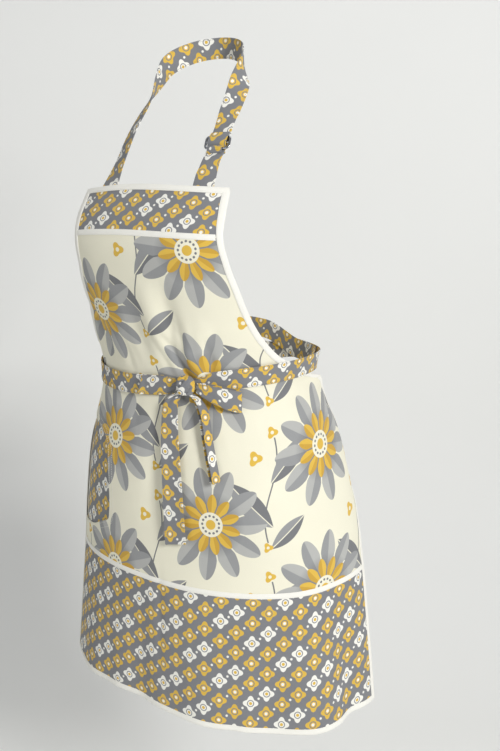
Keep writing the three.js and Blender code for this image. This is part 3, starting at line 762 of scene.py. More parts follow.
def panel(node, heights, columns, finish):
    pocket_cut = degrees_for(pocket_reach(heights), side_edge["right"](heights), heights)
    first, last = edge_angle(heights, "right") + pocket_cut, edge_angle(heights, "left")
    angles, rows = cloth_grid(first, last, heights, columns)
    face, back = (cloth(angles, rows, offset) for offset in (PANEL_CLOTH / 2, -PANEL_CLOTH / 2))
    piece = cloth_wall(node + "_cloth", face, back, flat_place(angles, heights), finish)
    return dress(piece, node)


bib_rows = np.linspace(BIB_TOP, BIB_SEAM + SEAM_GAP, 20)
body_rows = np.concatenate([np.linspace(BIB_SEAM - SEAM_GAP, HEM_SEAM + SEAM_GAP, 150), tip_rows])
body_rows = np.sort(body_rows)[::-1]
hem_rows = np.linspace(HEM_SEAM - SEAM_GAP, HEM, 56)
bib_band = panel("bib_band", bib_rows, 60, foulard_cotton)
body_panel = panel("body_panel", body_rows, 130, daisy_cotton)
hem_band = panel("hem_band", hem_rows, 130, foulard_cotton)

# %% Pocket facing
BINDING_WIDTH, FACING_WIDTH, POCKET_OVERLAP, FACING_CLEAR = 6, 126, 12, 0.6
FACING_FACE, FACING_BACK, FACING_PRINT_SHIFT = -1.3, -2.1, (9, 5)


def pocket_facing():
    heights = np.linspace(POCKET_TOP + POCKET_OVERLAP, POCKET_BOTTOM - POCKET_OVERLAP, 60)
    edge = side_edge["right"](heights)
    first = edge + degrees_for(BINDING_WIDTH + FACING_CLEAR, edge, heights)
    last = first + degrees_for(FACING_WIDTH, edge, heights)
    angles, rows = cloth_grid(first, last, heights, 34)
    face, back = (cloth(angles, rows, offset) for offset in (FACING_FACE, FACING_BACK))
    flat = flat_place(angles, heights) + FACING_PRINT_SHIFT
    piece = cloth_wall("pocket_facing_cloth", face, back, flat, foulard_cotton)
    return dress(piece, "pocket_facing")


facing = pocket_facing()

# %% [markdown]
# ## White binding and seam trims
#
# Every cut edge is closed by a strip of white cotton folded over it, and a flat white strip covers
# each of the two seams. A curve with a bevel could follow an edge, but it wouldn't lean with the cloth
# on both sides of it. So the binding's section, a rounded U, is swept along the edge as two chains of
# points, the outside and the inside of the folded strip, and each point is placed off the cloth.

# %% Binding section
BINDING_OUTSIDE = np.array([
    (6, 1.1), (5.4, 1.35), (3.6, 1.45), (1.6, 1.5), (0.2, 1.4), (-0.7, 1.1), (-1.2, 0.6), (-1.35, 0),
    (-1.2, -0.6), (-0.7, -1.1), (0.2, -1.4), (1.6, -1.5), (3.6, -1.45), (5.4, -1.35), (6, -1.1),
])
BINDING_INSIDE = np.array([
    (6, 0.65), (5.3, 0.65), (3.6, 0.65), (1.8, 0.65), (0.7, 0.65), (0.3, 0.6), (-0.1, 0.35), (-0.2, 0),
    (-0.1, -0.35), (0.3, -0.6), (0.7, -0.65), (1.8, -0.65), (3.6, -0.65), (5.3, -0.65), (6, -0.65),
])
BINDING_STITCHES = np.array([(4.7, 1.45), (4.7, -1.45)])
BINDING_CUT = 16
white_seams = []


def binding_chain(edge, inner, outward, chain):
    """Points of the strip: edge and inner are (angle, height) along the edge, and chain its section."""
    share = np.maximum(chain[:, 0], 0) / BINDING_WIDTH
    angle = mix(edge[:, :1], inner[:, :1], share[None, :])
    height = mix(edge[:, 1:], inner[:, 1:], share[None, :])
    beyond = np.maximum(-chain[:, 0], 0)[None, :, None]
    return cloth(angle, height, chain[None, :, 1]) + outward[:, None, :] * beyond


def binding(node, edge, inner):
    spots = cloth_point(edge[:, 0], edge[:, 1])
    along = unit(np.gradient(spots, axis=0))
    away = spots - cloth_point(inner[:, 0], inner[:, 1])
    outward = unit(away - along * np.sum(away * along, -1, keepdims=True))
    outside, inside, stitch_rows = (
        binding_chain(edge, inner, outward, chain)
        for chain in (BINDING_OUTSIDE, BINDING_INSIDE, BINDING_STITCHES))
    across = np.linspace(0, BINDING_CUT, len(BINDING_OUTSIDE))
    flat = np.stack(np.broadcast_arrays(across[None, :], run_along(spots)[:, None]), -1)
    piece = cloth_wall(node + "_cloth", outside, inside, flat, white_cotton)
    white_seams.extend([stitch_rows[:, 0], stitch_rows[:, 1]])
    return dress(piece, node)


# %% Bindings
INWARD = {"left": -1, "right": 1}
SLANT_STEP, MOST_SLANT = 1.5, 2.4
ARMHOLE_BEND = -350


def reach_in(heights, side):
    """Angle across the binding, so that it measures its width square to a slanting edge."""
    high, low = np.minimum(heights + SLANT_STEP, BIB_TOP), heights - SLANT_STEP
    low = np.where(heights > CORNER, np.maximum(low, CORNER), low)
    run = cloth_point(edge_angle(high, side), high) - cloth_point(edge_angle(low, side), low)
    rise = np.abs(run[:, 2])
    slant = np.minimum(np.linalg.norm(run, axis=-1) / np.maximum(rise, 1e-6), MOST_SLANT)
    edge = edge_angle(heights, side)
    return edge + INWARD[side] * degrees_for(BINDING_WIDTH * slant, edge, heights)


def edge_binding(node, heights, side):
    edge = np.stack([edge_angle(heights, side), heights], 1)
    inner = np.stack([reach_in(heights, side), heights], 1)
    return binding(node, edge, inner)


def level_binding(node, edge_height, inner_height, columns):
    spread = np.linspace(0, 1, columns)
    lines = []
    for height in (edge_height, inner_height):
        right, left = (edge_angle(np.array([height]), side)[0] for side in ("right", "left"))
        lines.append(np.stack([mix(right, left, spread), np.full(columns, height)], 1))
    return binding(node, *lines)


bindings = [
    level_binding("binding_bib_top", BIB_TOP, BIB_TOP - BINDING_WIDTH, 70),
    level_binding("binding_hem", HEM, HEM + BINDING_WIDTH, 170),
]
edge_rows = {
    "armhole": np.concatenate([
        np.linspace(BIB_TOP - 3, ARMHOLE_BEND, 60), np.linspace(ARMHOLE_BEND - 3, CORNER, 40)]),
    "side": np.linspace(CORNER - 0.4, HEM + 3, 120),
}
for side in ("left", "right"):
    for part, rows in edge_rows.items():
        bindings.append(edge_binding(f"binding_{part}_{side}", rows, side))

# %% Seam trims
TRIM_WIDTH, TRIM_UNDER, TRIM_TOP, TRIM_CLEAR = 6.5, 0.65, 1.5, 0.3
TRIM_PLACES = np.linspace(-0.5, 0.5, 9)
TRIM_EDGES = 0.45 * np.abs(2 * TRIM_PLACES) ** 6
TRIM_DENTS = 0.12 * np.exp(-((np.abs(TRIM_PLACES) - 0.36) / 0.05) ** 2)
TRIM_FACE = TRIM_TOP - TRIM_EDGES - TRIM_DENTS


def seam_trim(node, seam, columns):
    heights = seam - TRIM_PLACES * TRIM_WIDTH
    inset = degrees_for(BINDING_WIDTH + TRIM_CLEAR, 0.0, seam)
    first, last = edge_angle(heights, "right") + inset, edge_angle(heights, "left") - inset
    angles, rows = cloth_grid(first, last, heights, columns)
    face, back = cloth(angles, rows, TRIM_FACE[:, None]), cloth(angles, rows, TRIM_UNDER)
    piece = cloth_wall(node + "_cloth", face, back, flat_place(angles, heights), white_cotton)
    white_seams.extend([face[1], face[-2]])
    return dress(piece, node)


bib_trim = seam_trim("bib_trim", BIB_SEAM, 70)
hem_trim = seam_trim("hem_trim", HEM_SEAM, 170)

# %% [markdown]
# ## Straps and ties
#
# Straps and ties are tubes of cloth pressed flat, about 25 mm wide, with a row of stitches along each
# edge that pulls the layers together. A flat bevel on a curve would twist where the curve turns. A
# ribbon takes rows of points across the strip and the way out of its face instead, and gives them the
# pressed section: thin at the edges and at the stitches, full between.

# %% Ribbons
STRAP_WIDTH, TIE_WIDTH, STRAP_CLOTH = 25, 25, 1.6
ACROSS = np.linspace(-0.5, 0.5, 15)
EDGE_PRESS = 0.4 * np.abs(2 * ACROSS) ** 8
STITCH_PLACE = 0.4
STITCH_PRESS = 0.25 * np.exp(-((np.abs(ACROSS) - STITCH_PLACE) / 0.04) ** 2)
FULLNESS = 0.82 - EDGE_PRESS - STITCH_PRESS
grey_seams = []


def ribbon(name, points, out, flat_start, seam_faces=(1,)):
    """points is (stations, across, 3) on the middle of the strip, out the way off its face."""
    half = FULLNESS[None, :, None]
    run = run_along(points[:, len(ACROSS) // 2])
    wide = np.sum(np.linalg.norm(np.diff(points, axis=1), axis=2), axis=1)
    flat = np.stack([ACROSS[None, :] * wide[:, None] + flat_start[0],
                     np.broadcast_to(run[:, None], points.shape[:2]) + flat_start[1]], -1)
    piece = cloth_wall(name, points + out * half, points - out * half, flat, foulard_cotton)
    for face in seam_faces:
        for column in (1, -2):
            grey_seams.append(points[:, column] + out[:, column] * FULLNESS[column] * face)
    return piece, run[-1]


def out_of_body(angle):
    a = np.radians(angle)
    return np.stack([np.sin(a), -np.cos(a), np.zeros_like(a)], -1)


def pleat_wave(pleats):
    """Pleats across the strip, where it is gathered into the knot."""
    return np.sin(ACROSS * 2 * math.pi * pleats)[None, :]


def route(points, columns, steps):
    """Smooth columns through a route's rows, at even distances along it."""
    run = run_along(points)
    at = np.linspace(0, run[-1], steps)
    return at, [curve(run, column)(at) for column in columns]


print("strip thickness in mm at its edge and its fullest:", 2 * FULLNESS[0], 2 * FULLNESS.max())

# %% [markdown]
# ## Waist ties
#
# Each tie is sewn inside a waist corner, goes round the back, crosses the other one there and comes to
# the front over the body, where it narrows into pleats at the knot. Two strips that cross must not
# touch, so they part in height at the back, and a tie changes its layer on the way: behind the cloth
# where it is sewn, and in front of it at the end. The heights come from one table round the waist.

# %% Waist ties
WAIST = table(("angle", "height"), [
    (0, -400.5), (20, -395), (45, -386.5), (70, -383), (97, -383), (120, -385), (150, -383),
    (180, -380), (225, -390), (270, -402), (315, -406), (340, -404.5), (360, -400.5),
])
KNOT_ANGLE, KNOT_JOIN = 20, 0.4
LAYER_SEWN, LAYER_OVER, LAYER_FRONT = -3.4, -1, 3.2
CROSS_SPREAD, CROSS_HALF, CROSS_FADE, CROSS_CLIMB = 15, 18, 52, 24
START_DROP, START_TURN = 8, 30
GATHER_END, GATHER_TURN, GATHER_WIDTH = 5, 9, 0.58
SASH_PLEATS, PLEAT_DEPTH = 2.5, 0.9
RIPPLE_DEPTH, RIPPLE_TURN, RIPPLE_SLANT = 0.25, 0.31, 5
TIE_STATIONS, TIE_PRINT_SHIFT = 330, 7
waist_curve = curve(WAIST["angle"], WAIST["height"])


def waist_height(angle):
    return waist_curve(np.mod(angle, 360))


def tie(node, way, start, far_corner):
    """A tie from its waist corner to the knot, turning to the wearer's left where way is 1."""
    end = 360 + way * KNOT_ANGLE - KNOT_JOIN
    turn = np.linspace(start, end, TIE_STATIONS)
    angle = way * turn
    apart = smoothstep((CROSS_FADE - np.abs(turn - 180)) / (CROSS_FADE - CROSS_HALF))
    drop = START_DROP * (1 - smoothstep((turn - start) / START_TURN))
    middle = waist_height(angle) + way * CROSS_SPREAD * apart - drop
    near_knot = 1 - smoothstep((end - turn - GATHER_END) / GATHER_TURN)
    wide = TIE_WIDTH * mix(1, GATHER_WIDTH, near_knot)
    over = smoothstep((turn - 180 + CROSS_HALF) / (2 * CROSS_HALF))
    climb = smoothstep((turn - far_corner) / CROSS_CLIMB + 1)
    layer = mix(mix(LAYER_SEWN, LAYER_OVER, over), LAYER_FRONT, climb)
    pleats = PLEAT_DEPTH * near_knot[:, None] * pleat_wave(SASH_PLEATS)
    wave = np.sin(turn[:, None] * RIPPLE_TURN + ACROSS[None, :] * RIPPLE_SLANT)
    ripple = RIPPLE_DEPTH * wave * climb[:, None]
    height = middle[:, None] + wide[:, None] * ACROSS[None, :]
    points = body_point(angle[:, None], height, layer[:, None] + pleats + ripple)
    out = np.broadcast_to(out_of_body(angle)[:, None, :], points.shape)
    piece, length = ribbon(node + "_cloth", points, out, (0, TIE_PRINT_SHIFT * way))
    return dress(piece, node), length


tie_left, tie_left_length = tie("tie_left", 1, 76, 266)
tie_right, tie_right_length = tie("tie_right", -1, 70, 258)
print("tie lengths to the knot in mm:", round(tie_left_length), round(tie_right_length))

# %% Sash fold
FOLD_EDGE, FOLD_SLANT, FOLD_STOP = -8.3, 4.6, 5
FOLD_LIFT, FOLD_CURL, FOLD_CURL_REACH, FOLD_RISE = 1.75, 3, 0.09, 0.4
FOLD_WIDE, FOLD_NARROW, FOLD_GATHER_FROM, FOLD_GATHER_TURN = 0.97, 0.6, 16, 12


def sash_fold():
    """The tie's free layer, which lies over the sash beside the knot and ends in a slanting fold."""
    reach = np.linspace(0, 1, 60)[:, None]
    angle = mix(FOLD_EDGE + FOLD_SLANT * ACROSS[None, :], KNOT_ANGLE - FOLD_STOP, reach)
    near_knot = smoothstep((angle - KNOT_ANGLE + FOLD_GATHER_FROM) / FOLD_GATHER_TURN)
    up = TIE_WIDTH * ACROSS[None, :] * mix(FOLD_WIDE, FOLD_NARROW, near_knot)
    pleats = PLEAT_DEPTH * near_knot * pleat_wave(SASH_PLEATS)
    curl = FOLD_CURL * np.exp(-((reach / FOLD_CURL_REACH) ** 2))
    lift = LAYER_FRONT + FOLD_LIFT + pleats + curl
    points = body_point(angle, waist_height(angle) + up + FOLD_RISE, lift)
    piece, _ = ribbon("tie_fold_cloth", points, out_of_body(angle), (3, 20))
    return dress(piece, "tie_right")


tie_fold = sash_fold()

# %% [markdown]
# ## The bow
#
# The ties end in a bow with one loop and two ends. The loop stands on edge, so its width is upright and
# its strip runs out to a far fold and back. The long end hangs flat, the short one is folded along its
# length, and the knot is a rounded lump with a slanting band where the strip wraps round it. A cloth
# simulation seldom ties a neat bow, so each strip follows a short table of points off the body.

# %% Bow loop
ROUTE_COLUMNS = ("angle", "offset", "height", "width")
LOOP = table(ROUTE_COLUMNS, [
    (25.4, 9.4, -398, 11), (29.5, 13, -400.5, 17), (36, 15.5, -406, 23), (42.4, 14.5, -411, 26),
    (45.8, 10.6, -413, 26), (42.8, 7, -411, 26), (36, 6, -406, 23), (29.5, 5.9, -400.5, 17),
    (25.4, 6, -398, 11),
])
BOW_PLEATS, LOOP_PLEAT_DEPTH, LOOP_NARROW, LOOP_WIDEN = 2, 0.7, 11, 13
UP = np.array([0, 0, 1.0])


def body_route(rows, steps):
    points = body_point(rows["angle"], rows["height"], rows["offset"])
    return route(points, [rows[name] for name in rows], steps)


def bow_loop():
    _, (angle, offset, height, width) = body_route(LOOP, 110)
    centre = body_point(angle, height, offset)
    along = np.gradient(centre, axis=0)
    along[:, 2] = 0
    along = unit(along)
    out = np.stack([along[:, 1], -along[:, 0], np.zeros(len(along))], -1)[:, None, :]
    points = centre[:, None, :] + width[:, None, None] * ACROSS[None, :, None] * UP
    gather = (1 - smoothstep((width - LOOP_NARROW) / LOOP_WIDEN))[:, None]
    pleats = LOOP_PLEAT_DEPTH * gather * pleat_wave(BOW_PLEATS)
    points = points + out * pleats[..., None]
    piece, length = ribbon("bow_loop_cloth", points, np.broadcast_to(out, points.shape), (4, 0))
    return dress(piece, "bow_loop"), length


loop, loop_length = bow_loop()
print("loop strip in mm:", round(loop_length))

# %% Long end
LONG_END = table(ROUTE_COLUMNS, [
    (15.4, 9.4, -405.5, 14), (10.8, 10, -418, 21), (9, 8.5, -441, 24), (9.4, 7, -498, 25),
    (10.7, 6.5, -585, 25),
])
LONG_END_RADIUS, LONG_END_SKEW, SKEW_RUN = 150, 5, 40
CURL_DEPTH, CURL_FROM, CURL_RUN = 1.2, 20, 60
SWAY_DEPTH, SWAY_RUN, GATHER_RUN = 0.8, 21, 26


def long_end():
    distance, (angle, offset, height, width) = body_route(LONG_END, 90)
    turn = np.degrees(width[:, None] * ACROSS[None, :] / LONG_END_RADIUS)
    below_knot = smoothstep((distance - CURL_FROM) / CURL_RUN)[:, None]
    curl = CURL_DEPTH * (2 * ACROSS[None, :]) ** 2 * below_knot
    gather = (1 - smoothstep(distance / GATHER_RUN))[:, None]
    pleats = PLEAT_DEPTH * gather * pleat_wave(BOW_PLEATS)
    sway = SWAY_DEPTH * np.sin(distance / SWAY_RUN)[:, None]
    near_end = smoothstep((distance - distance[-1] + SKEW_RUN) / SKEW_RUN)[:, None]
    skew = LONG_END_SKEW * near_end * ACROSS[None, :]
    lift = offset[:, None] + curl + pleats + sway
    points = body_point(angle[:, None] + turn, height[:, None] + skew, lift)
    out = np.broadcast_to(out_of_body(angle)[:, None, :], points.shape)
    piece, length = ribbon("tie_end_long_cloth", points, out, (-3, 0), (1, -1))
    return dress(piece, "tie_end_long"), length


end_long, long_length = long_end()
print("long end in mm:", round(long_length))

# %% Short end
SHORT_END = table(("angle", "offset", "height"), [
    (22.6, 10.8, -405.7), (25.6, 11.5, -413), (27.3, 11, -426), (27.8, 10, -456), (29.4, 9, -503.5),
])
FOLD_BACK, FOLD_FRONT, FOLD_OPEN, FOLD_TURN = -6.4, 6, 2.4, 36
SHORT_GATHER, SHORT_GATHER_RUN, FOLD_SPREAD, FOLD_ROUNDNESS = 0.55, 25, 1.15, 0.6


def short_end():
    """Folded along its length: the strip runs from one free edge round the fold to the other."""
    distance, (angle, offset, height) = body_route(SHORT_END, 70)
    centre = body_point(angle, height, offset)
    a = np.radians(angle) + math.radians(FOLD_TURN)
    side_way = np.stack([np.cos(a), np.sin(a), np.zeros_like(a)], -1)
    out = out_of_body(angle + FOLD_TURN)
    gather = mix(SHORT_GATHER, 1, smoothstep(distance / SHORT_GATHER_RUN))[:, None, None]
    round_fold = np.abs(2 * ACROSS)
    beside = mix(FOLD_BACK, FOLD_FRONT, round_fold**FOLD_SPREAD)
    lift = np.sign(ACROSS) * (FOLD_OPEN + STRAP_CLOTH / 2) * round_fold**FOLD_ROUNDNESS
    section = out[:, None, :] * lift[None, :, None] - side_way[:, None, :] * beside[None, :, None]
    points = centre[:, None, :] + gather * section
    face = unit(np.cross(np.gradient(points, axis=0), np.gradient(points, axis=1)))
    piece, length = ribbon("tie_end_short_cloth", points, face, (2, 30), (1, -1))
    return dress(piece, "tie_end_short"), length


end_short, short_length = short_end()
print("short end in mm:", round(short_length))

# %% Knot
KNOT_HALF_WIDTH, KNOT_HALF_HEIGHT, KNOT_HALF_DEPTH, KNOT_RISE = 11.5, 12.5, 7, 0.5
KNOT_ROUNDS, KNOT_RINGS, KNOT_SOFTNESS, KNOT_CLEAR = 72, 44, 0.8, 0.6
WRAP_SLANT, WRAP_HALF, WRAP_RISE, WRAP_EDGE = 52, 5.2, 1.7, 1.4
WRAP_PLEAT, WRAP_PLEAT_DEPTH, GATHER_DEPTH, GATHER_WAVE = 3.4, 0.45, 0.7, 1.15
PINCH, PINCH_PLACE, PINCH_WIDTH, FRONT_FADE = 1.5, 1.2, 1.3, 0.3


def soften(value):
    """A sine or cosine that makes a round section a little squarer."""
    return np.sign(value) * np.abs(value) ** KNOT_SOFTNESS


def knot_points():
    """Points of the lump beside, out of and up from its middle, with its two poles last."""
    turn = np.linspace(0, 2 * math.pi, KNOT_ROUNDS, endpoint=False)
    fall = np.linspace(0, math.pi, KNOT_RINGS + 2)[1:-1]
    ring_size = soften(np.sin(fall))[:, None]
    wide = KNOT_HALF_WIDTH * ring_size * soften(np.cos(turn))[None, :]
    deep = KNOT_HALF_DEPTH * ring_size * np.sin(turn)[None, :]
    tall = np.broadcast_to(KNOT_HALF_HEIGHT * soften(np.cos(fall))[:, None], wide.shape)
    slant = math.radians(WRAP_SLANT)
    across = wide * math.sin(slant) - tall * math.cos(slant)
    front = smoothstep(deep / KNOT_HALF_DEPTH + FRONT_FADE)
    wrap = smoothstep((WRAP_HALF - np.abs(across)) / WRAP_EDGE + 0.5)
    pleats = WRAP_PLEAT_DEPTH * np.cos(across * 2 * math.pi / WRAP_PLEAT) * wrap
    pinch = PINCH * np.exp(-(((np.abs(across) - WRAP_HALF - PINCH_PLACE) / PINCH_WIDTH) ** 2))
    gathers = GATHER_DEPTH * np.sin(tall * GATHER_WAVE + np.sign(wide)) * (1 - wrap)
    deep = deep + front * (WRAP_RISE * wrap + pleats - pinch + gathers)
    local = np.stack([wide, deep, tall], -1).reshape(-1, 3)
    return np.concatenate([local, [[0, 0, KNOT_HALF_HEIGHT], [0, 0, -KNOT_HALF_HEIGHT]]])


# %% Knot mesh
def bow_knot():
    local = knot_points()
    a = math.radians(KNOT_ANGLE)
    lift = LAYER_FRONT + STRAP_CLOTH / 2 + KNOT_CLEAR + KNOT_HALF_DEPTH
    centre = body_point(KNOT_ANGLE, waist_height(KNOT_ANGLE) + KNOT_RISE, lift)
    side_way, out = np.array([math.cos(a), math.sin(a), 0]), np.array([math.sin(a), -math.cos(a), 0])
    points = centre + local[:, :1] * side_way + local[:, 1:2] * out + local[:, 2:] * UP
    index = np.arange(KNOT_ROUNDS * KNOT_RINGS).reshape(KNOT_RINGS, KNOT_ROUNDS)
    after = np.roll(index, -1, axis=1)
    faces = np.stack([index[1:], after[1:], after[:-1], index[:-1]], -1).reshape(-1, 4).tolist()
    top, bottom = len(points) - 2, len(points) - 1
    faces += [[here, there, top] for here, there in zip(index[0], after[0])]
    faces += [[there, here, bottom] for here, there in zip(index[-1], after[-1])]
    turned_flat = np.stack(turned(local[:, 0], local[:, 2], WRAP_SLANT), 1)
    piece = mesh_piece("bow_knot_cloth", points, faces, turned_flat, foulard_cotton)
    return dress(piece, "bow_knot")


knot = bow_knot()

# %% [markdown]
# ## Neck straps and slider
#
# A long strap is sewn behind the bib, goes round the nape and comes down behind a metal slider. A
# short strap comes up from the other side of the bib, goes behind the slider's lower bar and over the
# other two, and ends just above it. The slider sits a little askew. Straps bent in their own direction
# would cut its bars, so near the slider they are bent along the slider's own upright direction.

# %% The slider's place
SLIDER_AT, SLIDER_FACING, SLIDER_SKEW = np.array([55.5, -100, -113.0]), 2, 9
STRAP_AT_NECK = (60.5, -63, -53)
slider_up = unit(np.array(STRAP_AT_NECK) - SLIDER_AT)
slider_out = out_of_body(np.float64(SLIDER_FACING))
slider_out = unit(slider_out - slider_up * slider_out.dot(slider_up))
slider_across = np.cross(slider_up, slider_out)
skew_cos, skew_sin = math.cos(math.radians(SLIDER_SKEW)), math.sin(math.radians(SLIDER_SKEW))
frame_across = slider_across * skew_cos + slider_up * skew_sin
frame_up = slider_up * skew_cos - slider_across * skew_sin
print("slider's upright direction:", frame_up.round(3))

# %% Strap routes
# Each row is x, y, z, the way that the strap faces, and how much it is bent across.
NECK_ROUTE = np.array([
    (-76, -114, -138, -30, 0),
    (-66, -99, -100, -34, 0),
    (-57, -77, -66, -38, 0),
    (-55, -59, -42, -70, 0),
    (-52, -38, -20, -106, 0),
    (-33, -12, -5, -144, 0),
    (0, 0.8, 0, -180, 0),
    (33, -12, -6, -216, 0),
    (52, -35, -22, -254, 0),
    (*STRAP_AT_NECK, -334, 0),
], float)
SEWN_ANGLE = {"right": -29.5, "left": 32}
SEWN_DEPTH, SEWN_OFFSET, SEWN_CAMBER = 22, -4.4, 1.2
STRAP_STUB = 12.5


def sewn_end(side):
    heights = BIB_TOP - SEWN_DEPTH * np.array([1, 0.5, 0])
    angle = np.full(3, SEWN_ANGLE[side])
    out = cloth_normal(angle, heights)
    facing_way = np.degrees(np.arctan2(out[:, 0], -out[:, 1]))
    return np.column_stack([cloth(angle, heights, SEWN_OFFSET), facing_way, np.full(3, SEWN_CAMBER)])


def near_slider(ups, facing_way):
    return np.array([(*(SLIDER_AT + slider_up * up), facing_way, 0) for up in ups])


neck_rows = np.vstack([
    sewn_end("right"), NECK_ROUTE, near_slider((24, 9, 0, -STRAP_STUB), SLIDER_FACING - 360),
])
slider_rows = np.vstack([sewn_end("left"), near_slider((-26, -9, 0, STRAP_STUB), SLIDER_FACING)])
turn_rows = near_slider((-5.6, -8, -10.5, -13.4), SLIDER_FACING)
print("rows of the straps' routes:", len(neck_rows), len(slider_rows), len(turn_rows))

# %% Straps
# Each pair is a height up the slider, and how far in front of it the strap lies there.
BEHIND_BARS = [
    (40, 0), (18, -0.8), (12.5, -1.4), (8, -2.4), (0, -2.5), (-3.7, -3.3), (-7.3, -4.3), (-16, -4.3),
]
OVER_BARS = [
    (-40, 0), (-26, -0.6), (-12, -2.2), (-7.3, -2.4), (-3.6, 0), (0, 2.3), (7.3, 2.5), (13, 0.9),
    (20, 0.9),
]
ROUND_LOW_BAR = [(-5, 0.7), (-6, 1.6), (-7.4, 2.2), (-9, 1.9), (-10.6, 0.7), (-13, -0.3), (-18, -0.5)]
THREADED_REACH, THREADED_FADE, SLIDER_PINCH, TURN_WIDTH = 45, 12, 0.92, 20


def threaded(points, pairs):
    """Move a strap in front of or behind the slider's bars, square to the slider and not the strap."""
    near = smoothstep((THREADED_REACH - np.linalg.norm(points - SLIDER_AT, axis=-1)) / THREADED_FADE)
    beside = (points - SLIDER_AT) @ slider_across
    points = points + slider_up * (beside * near * skew_sin / skew_cos)[..., None]
    points = points - slider_across * (beside * near * (1 - SLIDER_PINCH))[..., None]
    out = curve(*zip(*pairs))((points - SLIDER_AT) @ frame_up) * near
    return points + slider_out * out[..., None]


def strap(name, node, rows, steps, flat_start, pairs, width=STRAP_WIDTH):
    _, (x, y, z, facing_way, camber) = route(rows[:, :3], list(rows.T), steps)
    centre = np.stack([x, y, z], -1)
    along = unit(np.gradient(centre, axis=0))
    face = out_of_body(facing_way)
    face = unit(face - along * np.sum(face * along, -1, keepdims=True))
    across = np.cross(along, face)
    bend = camber[:, None] * np.abs(2 * ACROSS)[None, :]
    points = (centre[:, None, :] + across[:, None, :] * (ACROSS * width)[None, :, None]
              - face[:, None, :] * bend[..., None])
    points = threaded(points, pairs)
    out = unit(np.cross(np.gradient(points, axis=1), np.gradient(points, axis=0)))
    piece, length = ribbon(name, points, out, flat_start, (1, -1))
    return dress(piece, node), length


neck_strap, neck_length = strap("neck_strap_cloth", "neck_strap", neck_rows, 320, (1, 3), BEHIND_BARS)
slider_strap, slider_length = strap(
    "slider_strap_cloth", "slider_strap", slider_rows, 150, (-4, 2), OVER_BARS)
strap_turn, _ = strap(
    "slider_turn_cloth", "slider_strap", turn_rows, 24, (14.6, 15), ROUND_LOW_BAR, TURN_WIDTH)
print("neck strap and slider strap in mm:", round(neck_length), round(slider_length))

# %% Slider
SLIDER_WIDTH, SLIDER_HEIGHT, SLIDER_BAR, SLIDER_DEEP, SLIDER_CORNER = 33, 18, 3.2, 2.2, 5.5
WIRE_SIDES, CORNER_STEPS, BAR_STEPS, BAR_INSET, BAR_THICKNESS = 14, 9, 8, 0.6, 0.42


def tube(path, radius, closed):
    """Points and faces of a flattened wire along a path in the plane of the slider."""
    ahead = np.roll(path, -1, 0) - np.roll(path, 1, 0) if closed else np.gradient(path, axis=0)
    along = unit(ahead)
    flat_normal = np.stack([along[:, 1], -along[:, 0]], -1)
    turn = np.linspace(0, 2 * math.pi, WIRE_SIDES, endpoint=False)
    plane = path[:, None, :] + flat_normal[:, None, :] * (radius * np.cos(turn))[None, :, None]
    out = np.broadcast_to(SLIDER_DEEP / 2 * np.sin(turn), plane.shape[:2])
    points = (SLIDER_AT + plane[..., :1] * frame_across + plane[..., 1:] * frame_up
              + out[..., None] * slider_out).reshape(-1, 3)
    count = len(path)
    index = np.arange(count * WIRE_SIDES).reshape(count, WIRE_SIDES)
    here = index if closed else index[:-1]
    there = np.roll(index, -1, 0) if closed else index[1:]
    quads = np.stack([here, np.roll(here, -1, 1), np.roll(there, -1, 1), there], -1).reshape(-1, 4)
    return points, quads.tolist() + ([] if closed else [index[0].tolist()[::-1], index[-1].tolist()])


def slider():
    half_wide = (SLIDER_WIDTH - SLIDER_BAR) / 2 - SLIDER_CORNER + SLIDER_BAR / 2
    half_tall = (SLIDER_HEIGHT - SLIDER_BAR) / 2 - SLIDER_CORNER + SLIDER_BAR / 2
    bend = SLIDER_CORNER - SLIDER_BAR / 2
    path = []
    for k, (x, y) in enumerate(((1, 1), (-1, 1), (-1, -1), (1, -1))):
        turn = np.linspace(0, math.pi / 2, CORNER_STEPS) + k * math.pi / 2
        corner = [x * half_wide + bend * np.cos(turn), y * half_tall + bend * np.sin(turn)]
        path.append(np.stack(corner, 1))
    rim_points, rim_faces = tube(np.concatenate(path), SLIDER_BAR / 2, True)
    bar_reach = SLIDER_WIDTH / 2 - SLIDER_BAR * BAR_INSET
    bar_path = np.stack([np.linspace(-1, 1, BAR_STEPS) * bar_reach, np.zeros(BAR_STEPS)], 1)
    bar_points, bar_faces = tube(bar_path, SLIDER_BAR * BAR_THICKNESS, False)
    points = np.concatenate([rim_points, bar_points])
    faces = rim_faces + [[i + len(rim_points) for i in face] for face in bar_faces]
    piece = mesh_piece("slider_wire", points, faces, np.zeros((len(points), 2)), nickel)
    return dress(piece, "slider")


slider()

# %% [markdown]
# ## Stitches
#
# Rows of stitches hold the bindings, trims, straps and ties. They could be drawn as bumps, but real
# thread catches the light at its edges. Each row is a chain of edges, and a Geometry Nodes tree turns
# it into a curve, spaces points along it and sets a small rounded stitch on each point, turned along
# the row. The same tree serves white and grey thread.

